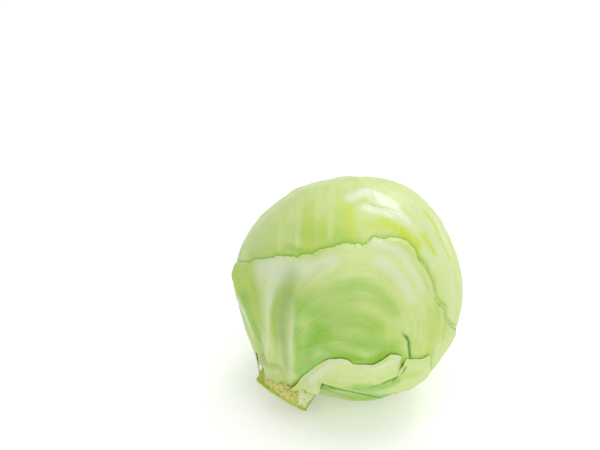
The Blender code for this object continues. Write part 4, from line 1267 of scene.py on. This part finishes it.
def make_stem(material):
    """The cut stub of the stem: petiole running down it, leaf scar, crinkled flesh and fibrous cut face."""
    mesh, points = stem_mesh()
    azimuth = np.arctan2(points[:, 1], points[:, 0])
    turn = turn_of(points)
    depth = -points[:, 2]
    on_side = smooth_step((np.hypot(points[:, 0], points[:, 1]) - STEM_RADIUS + 3.0) / 2.0)
    coarse, medium, fine = (puckers(points, size, seed) for size, seed in STEM_PUCKERS)
    patches = stem_patches(turn, depth, 1.3 * coarse + 0.5 * medium)
    petiole, scar, white, fuzz = (on_side * patch for patch in patches)

    swell = scar_rows(azimuth, depth) * (1.0 - np.maximum(petiole, scar)) - SIDE_SINK + 0.15 * medium
    above_end = (border(FILLET_END, turn) - depth) / FILLET_DEPTH
    swell += FILLET * np.clip(above_end, 0.0, FILLET_MOST) ** 2
    swell += scar * (0.25 + 0.7 * medium + 0.35 * fine)
    crinkle = (1.3 * (0.4 - np.abs(coarse)) + 0.4) * np.abs(medium)
    swell += white * (0.2 + crinkle + 0.25 * fine)
    swell += fuzz * (0.5 + 0.8 * np.abs(fine) + 0.6 * medium)
    swell = np.where(depth < STEM_REACH, swell, -SIDE_SINK)
    out = np.column_stack([np.cos(azimuth), np.sin(azimuth), np.zeros(len(points))])
    points = points + out * (swell * on_side)[:, None]
    points[:, 2] -= np.where(depth > STEM_REACH, 0.3 * coarse + 0.12 * fine, 0.0)
    points = to_row(points)
    points[:, 2] = np.maximum(points[:, 2], 0.0)
    mesh.vertices.foreach_set("co", points.ravel())

    set_fields(mesh, {
        "petiole": petiole,
        "scar": scar,
        "white": white,
        "fuzz": fuzz,
        "rim": on_side * smooth_step((depth - RIM_DEPTH) / 0.6 + 0.6 * coarse),
        "cut": smooth_step((depth - STEM_REACH - 0.2) / 0.5),
    })
    add_piece(mesh, material, "stem")


def make_torn_stalk(number, stalk, material):
    """Flat fibres left by a torn-off leaf, rooted in the stem and fraying to points."""
    turn, root, tip, width = stalk
    azimuth = math.radians(turn + FRONT)
    out = np.array([math.cos(azimuth), math.sin(azimuth), 0.0])
    across = np.array([-out[1], out[0], 0.0])
    start = out * root[0] - np.array([0.0, 0.0, root[1]])
    end = out * tip[0] - np.array([0.0, 0.0, tip[1]])
    draw = np.random.default_rng(40 + number)
    tears = draw.uniform(0.35, 0.9, STALK_COLUMNS + 1)
    tears[STALK_COLUMNS // 2] = 1.0
    bm = bmesh.new()
    rows = []
    for share in np.linspace(0.0, 1.0, STALK_ROWS + 1):
        row = []
        for column, tear in enumerate(tears):
            reach = min(share, tear)
            spread = (column / STALK_COLUMNS - 0.5) * width * (1.0 - STALK_TAPER * reach)
            bend = STALK_BEND * math.sin(3.0 * reach + column) * reach
            row.append(bm.verts.new(start + (end - start) * reach + across * spread + out * bend))
        rows.append(row)
    for low, high in zip(rows, rows[1:]):
        for corners in zip(low, low[1:], high[1:], high):
            bm.faces.new(corners)
    bmesh.ops.remove_doubles(bm, verts=bm.verts, dist=0.005)
    bmesh.ops.recalc_face_normals(bm, faces=bm.faces)
    mesh, points = mesh_from(bm, f"torn_stalk_{number}")
    mesh.vertices.foreach_set("co", to_row(points).ravel())
    set_fields(mesh, {"white": np.full(len(points), 0.9)})
    thicken(add_piece(mesh, material, "stem"), STALK_THICKNESS, 0.0)


class Signal:
    """A number that varies over a material. Arithmetic on it adds Math nodes."""

    def __init__(self, skin, socket):
        self.skin = skin
        self.socket = socket

    def maths(self, operation, *values, clamp=False):
        return self.skin.add("ShaderNodeMath", {"operation": operation, "use_clamp": clamp},
                             dict(enumerate(values)))

    def __add__(self, other):
        return self.maths("ADD", self, other)

    def __sub__(self, other):
        return self.maths("SUBTRACT", self, other)

    def __rsub__(self, other):
        return self.maths("SUBTRACT", other, self)

    def __mul__(self, other):
        return self.maths("MULTIPLY", self, other)

    def __truediv__(self, other):
        return self.maths("DIVIDE", self, other)

    __radd__ = __add__
    __rmul__ = __mul__

    def clamped(self):
        return self.maths("MULTIPLY", self, 1.0, clamp=True)


class Skin:
    """A material built from nodes round one Principled shader."""

    def __init__(self, name):
        self.material = bpy.data.materials.new(name)
        self.material.use_nodes = True
        self.nodes = self.material.node_tree.nodes
        self.links = self.material.node_tree.links
        self.shader = self.nodes["Principled BSDF"]

    def add(self, kind, settings=None, inputs=None, output=0):
        """Adds a node: first its settings, then the values or links of its sockets."""
        node = self.nodes.new(kind)
        for name, value in (settings or {}).items():
            setattr(node, name, value)
        self.feed(node, inputs or {})
        return Signal(self, node.outputs[output])

    def feed(self, node, inputs):
        for key, value in inputs.items():
            if isinstance(value, Signal):
                self.links.new(value.socket, node.inputs[key])
            else:
                node.inputs[key].default_value = value

    def finish(self, **sockets):
        """Feeds the shader's own sockets, named with underscores for spaces."""
        self.feed(self.shader, {name.replace("_", " "): value for name, value in sockets.items()})
        return self.material

    def field(self, name):
        return self.add("ShaderNodeAttribute", {"attribute_name": name}, output="Fac")

    def mix(self, share, first, second):
        """Goes from the first colour to the second."""
        return self.add("ShaderNodeMix", {"data_type": "RGBA"}, {0: share, 6: first, 7: second}, output=2)

    def paint(self, tone, layers):
        """Lays colours over a tone one by one, each as strongly as a field times a weight."""
        for name, weight, over in layers:
            tone = self.mix((self.field(name) * weight).clamped(), tone, over)
        return tone

    def place(self):
        return self.add("ShaderNodeTexCoord", output="Object")

    def mottle(self, size, detail=2.0, roughness=0.5):
        """Cloudy unevenness from 0 to 1, with clouds of a size in metres."""
        return self.add(
            "ShaderNodeTexNoise", {},
            {"Vector": self.place(), "Scale": 1.0 / size, "Detail": detail, "Roughness": roughness},
        )

    def streaks(self, width, length):
        """Unevenness from 0 to 1 drawn out along the veins, with a width and length in millimetres."""
        run = self.add("ShaderNodeCombineXYZ", {},
                       {"X": self.field("across") / width, "Y": self.field("along") / length})
        return self.add("ShaderNodeTexNoise", {}, {"Vector": run, "Scale": 1.0, "Detail": 2.0})

    def net(self, size, line):
        """A net of fine lines, 1 on a line, with meshes of a size in metres."""
        warp = self.add("ShaderNodeTexNoise", {}, {"Vector": self.place(), "Scale": 1.2 / size},
                        output="Color")
        bent = self.add("ShaderNodeVectorMath", {"operation": "MULTIPLY_ADD"},
                        {0: warp, 1: (0.5 * size,) * 3, 2: self.place()})
        edge = self.add("ShaderNodeTexVoronoi", {"feature": "DISTANCE_TO_EDGE"},
                        {"Vector": bent, "Scale": 1.0 / size}, output="Distance")
        return (1.0 - edge / line).clamped()

    def bump(self, height, depth):
        """A surface normal from a height of 0 to 1 that stands for a depth in metres."""
        return self.add("ShaderNodeBump", {}, {"Strength": 1.0, "Distance": depth, "Height": height},
                        output="Normal")


def colour(red, green, blue):
    """An opaque colour."""
    return (red, green, blue, 1.0)


# Colours of the leaves, and of the painted shade and highlights on them, as linear shares of red, green and
# blue
FRESH_GREEN = colour(0.47, 0.62, 0.14)
LIGHT_GREEN = colour(0.52, 0.67, 0.18)
INNER_GREEN = colour(0.58, 0.70, 0.24)
DEEP_GREEN = colour(0.21, 0.48, 0.015)
YELLOW_GREEN = colour(0.43, 0.60, 0.02)
SUNNY_GREEN = colour(0.56, 0.67, 0.03)
PALE_GREEN = colour(0.63, 0.74, 0.30)
VEIN_WHITE = colour(0.65, 0.74, 0.40)
BLOOM_AND_HIGHLIGHT_WHITE = colour(0.67, 0.75, 0.50)
PAINTED_HIGHLIGHT_WHITE = colour(0.84, 0.87, 0.74)
CHANNEL_SHADE_GREEN = colour(0.24, 0.40, 0.09)
TEAL_GREEN = colour(0.31, 0.63, 0.21)
SHADE_BAND_GREEN = colour(0.32, 0.54, 0.03)
SHADE_LINE_GREEN = colour(0.19, 0.42, 0.005)
CREASE_SHADE_GREEN = colour(0.06, 0.27, 0.005)

# Pairs of colours on the stem, between which noise goes from the first to the second
SKIN_GREENS = (colour(0.28, 0.46, 0.02), colour(0.50, 0.62, 0.08))
PETIOLE_GREENS = (colour(0.54, 0.68, 0.20), colour(0.70, 0.78, 0.40))
SCAR_BUFFS = (colour(0.42, 0.40, 0.04), colour(0.88, 0.82, 0.34))
FLESH_WHITES = (colour(0.52, 0.62, 0.14), colour(0.92, 0.94, 0.66))
FRAYED_GREENS = (colour(0.38, 0.46, 0.03), colour(0.66, 0.72, 0.24))
FACE_BUFFS = (colour(0.62, 0.66, 0.34), colour(0.44, 0.44, 0.14))
RIM_LIME = colour(0.52, 0.74, 0.03)


def leaf_skin(name, fresh, pale):
    """Waxy leaf: mottled green between a net of pale veins, with painted shade by an upper leaf's edge, in
    creases and slits, and painted highlights.
    """
    skin = Skin(name)
    clouds = skin.mottle(0.022, 3.0)
    spots = skin.mottle(0.006, 2.0)
    grain = skin.mottle(0.0011, 3.0, 0.6)
    broad = skin.streaks(5.0, 45.0)
    narrow = skin.streaks(1.5, 22.0)
    wide_net = skin.net(0.0062, 0.09)
    fine_net = skin.net(0.0021, 0.12)
    veining = 0.14 * wide_net + 0.08 * fine_net + 0.5 * skin.field("twig")
    tone = skin.mix((0.8 * clouds + 0.9 * broad + 0.5 * spots - 0.75).clamped(), fresh, pale)
    tone = skin.mix(veining.clamped(), tone, PALE_GREEN)
    tone = skin.paint(tone, [
        ("vein", 0.2 + 1.4 * narrow, VEIN_WHITE),
        ("yellow", 0.2 + 1.2 * broad + 0.6 * narrow, YELLOW_GREEN),
        ("deep", 0.6 + 0.6 * clouds + 0.3 * broad, DEEP_GREEN),
        ("pale", 0.3 + 0.6 * clouds + 0.8 * broad, PALE_GREEN),
    ])
    tone = skin.mix((2.6 * narrow - 1.25).clamped() * 0.4, tone, PALE_GREEN)
    tone = skin.mix((1.15 - 2.6 * narrow).clamped() * 0.4, tone, fresh)
    tone = skin.paint(tone, [
        # Whitish veins and bloom, with painted highlights among them on the top leaf
        ("white", 0.4 + 0.5 * spots + 0.7 * broad, BLOOM_AND_HIGHLIGHT_WHITE),
        ("patch", 1.2 * broad + 1.4 * narrow - 0.3, SUNNY_GREEN),
        # Painted highlights on the top leaf, where the coat is also stronger
        ("painted_highlight", 1.8 * narrow + 0.6 * broad - 0.3, PAINTED_HIGHLIGHT_WHITE),
        # Painted shade in the front leaf's channel and at the corner below the lower right leaf
        ("channel", 1.0, CHANNEL_SHADE_GREEN),
        ("teal", 1.0, TEAL_GREEN),
        ("margin", 0.5, pale),
        # Painted shade below the edges of the leaves above
        ("shade_band", 1.6 * clouds - 0.1, SHADE_BAND_GREEN),
        ("line", 0.6 + 0.6 * spots, SHADE_LINE_GREEN),
        # Creases, the slit and edge lines painted dark, as shade in them
        ("crease", 1.0, CREASE_SHADE_GREEN),
    ])
    height = 0.3 * grain + 0.2 * spots + 0.35 * narrow + 0.25 * wide_net + 0.15 * fine_net
    return skin.finish(
        Base_Color=tone, Roughness=0.3 + 0.16 * clouds + 0.15 * grain, Normal=skin.bump(height, 0.00025),
        Coat_Weight=0.12 + 0.35 * skin.field("painted_highlight"), Coat_Roughness=0.24, IOR=1.45,
    )


def stem_skin():
    """Stem: pale petiole, green skin, rough buff scar, crinkled flesh, a lime rim and a fibrous cut face."""
    skin = Skin("stem_flesh")
    clouds = skin.mottle(0.006, 3.0)
    specks = skin.mottle(0.0019, 4.0, 0.75)
    fibres = skin.net(0.0014, 0.2)
    tone = skin.paint(skin.mix(clouds, *SKIN_GREENS), [
        ("white", 1.0, skin.mix((2.6 * specks - 0.7).clamped(), *FLESH_WHITES)),
        ("fuzz", 1.0, skin.mix((2.0 * specks - 0.5).clamped(), *FRAYED_GREENS)),
        ("scar", 1.0, skin.mix((3.2 * specks - 1.1).clamped(), *SCAR_BUFFS)),
        ("petiole", 1.0, skin.mix(clouds, *PETIOLE_GREENS)),
        ("rim", 0.85, RIM_LIME),
        ("cut", 1.0, skin.mix((0.6 * fibres + 0.5 * clouds).clamped(), *FACE_BUFFS)),
    ])
    height = 0.5 * specks + 0.3 * fibres + 0.2 * clouds
    return skin.finish(
        Base_Color=tone, Roughness=0.55 + 0.25 * specks, Normal=skin.bump(height, 0.0005), IOR=1.42,
    )


def make_floor():
    """A wide white floor that glows a little, so that it stays white round the soft shadow."""
    bpy.ops.mesh.primitive_plane_add(size=8.0, location=(0.0, 0.0, 0.0))
    floor = bpy.context.active_object
    floor.name = "floor"
    white = Skin("floor_white").finish(
        Base_Color=colour(0.90, 0.90, 0.91), Roughness=0.9, Emission_Color=colour(0.97, 0.98, 1.0),
        Emission_Strength=0.25,
    )
    floor.data.materials.append(white)


# The lights: a white surround's strength, and square soft boxes by name, direction from the head,
# distance and size in metres, and power in watts
SURROUND_STRENGTH = 0.62
SOFTBOXES = [
    ("overhead", (0.05, -0.05, 1.0), 1.3, 1.1, 5.0),
    ("right_back", (0.775, 0.296, 0.557), 1.2, 0.45, 3.4),
    ("front", (-0.25, -0.80, 0.6), 1.4, 0.8, 3.4),
]


def add_softbox(name, towards, distance, size, power):
    """A square soft light some way off in a direction from the head, aimed at it."""
    light = bpy.data.lights.new(name, "AREA")
    light.shape = "SQUARE"
    light.size = size
    light.energy = power
    lamp = bpy.data.objects.new(name, light)
    way = Vector(towards).normalized()
    lamp.location = HEAD_CENTRE + way * distance
    lamp.rotation_euler = way.to_track_quat("Z", "Y").to_euler()
    bpy.context.scene.collection.objects.link(lamp)


def light_scene():
    """High-key studio light: a white surround, a big overhead box and two smaller ones."""
    world = bpy.data.worlds.new("surround")
    world.use_nodes = True
    surround = world.node_tree.nodes["Background"].inputs
    surround["Color"].default_value = colour(1.0, 1.0, 1.0)
    surround["Strength"].default_value = SURROUND_STRENGTH
    bpy.context.scene.world = world
    for softbox in SOFTBOXES:
        add_softbox(*softbox)
    bpy.context.scene.view_settings.view_transform = "Standard"


# The photograph's view: azimuth and elevation in degrees, distance in metres, focal length in pixels
# of its 600 x 450 frame, and the pixel where the head's centre shows
VIEW_AZIMUTH = -41.0
VIEW_ELEVATION = 35.0
VIEW_DISTANCE = 1.1
FOCAL_PIXELS = 1485.6
FRAME_PIXELS = (600, 450)
CENTRE_PIXEL = (347.0, 290.0)
SENSOR_WIDTH = 36.0


def make_camera():
    """A camera that looks from the photograph's angle, turned so that the head falls where it does there."""
    azimuth = math.radians(VIEW_AZIMUTH)
    elevation = math.radians(VIEW_ELEVATION)
    right = Vector((math.cos(azimuth), math.sin(azimuth), 0.0))
    ahead = Vector((
        -math.sin(azimuth) * math.cos(elevation), math.cos(azimuth) * math.cos(elevation),
        -math.sin(elevation),
    ))
    up = right.cross(ahead)
    aside = (CENTRE_PIXEL[0] - FRAME_PIXELS[0] / 2) / FOCAL_PIXELS
    below = (CENTRE_PIXEL[1] - FRAME_PIXELS[1] / 2) / FOCAL_PIXELS
    look = ahead - aside * right + below * up
    lens = bpy.data.cameras.new("camera")
    lens.sensor_width = SENSOR_WIDTH
    lens.lens = FOCAL_PIXELS * SENSOR_WIDTH / FRAME_PIXELS[0]
    camera = bpy.data.objects.new("camera", lens)
    camera.location = HEAD_CENTRE - VIEW_DISTANCE * ahead
    level = Matrix((right, up, -ahead)).transposed().to_quaternion()
    camera.rotation_euler = (ahead.rotation_difference(look) @ level).to_euler()
    bpy.context.scene.collection.objects.link(camera)
    bpy.context.scene.camera = camera


def main():
    """Makes every material and piece, the floor, the lights and the camera."""
    skins = {
        "green_leaf": leaf_skin("green_leaf", FRESH_GREEN, PALE_GREEN),
        "pale_leaf": leaf_skin("pale_leaf", LIGHT_GREEN, PALE_GREEN),
        "inner_leaf": leaf_skin("inner_leaf", INNER_GREEN, VEIN_WHITE),
    }
    stem = stem_skin()
    make_head(skins["inner_leaf"])
    for level, leaf in enumerate(LEAVES):
        make_leaf(level, skins[leaf.slot])
    make_stem(stem)
    for number, stalk in enumerate(TORN_STALKS):
        make_torn_stalk(number, stalk, stem)
    make_floor()
    light_scene()
    make_camera()


main()
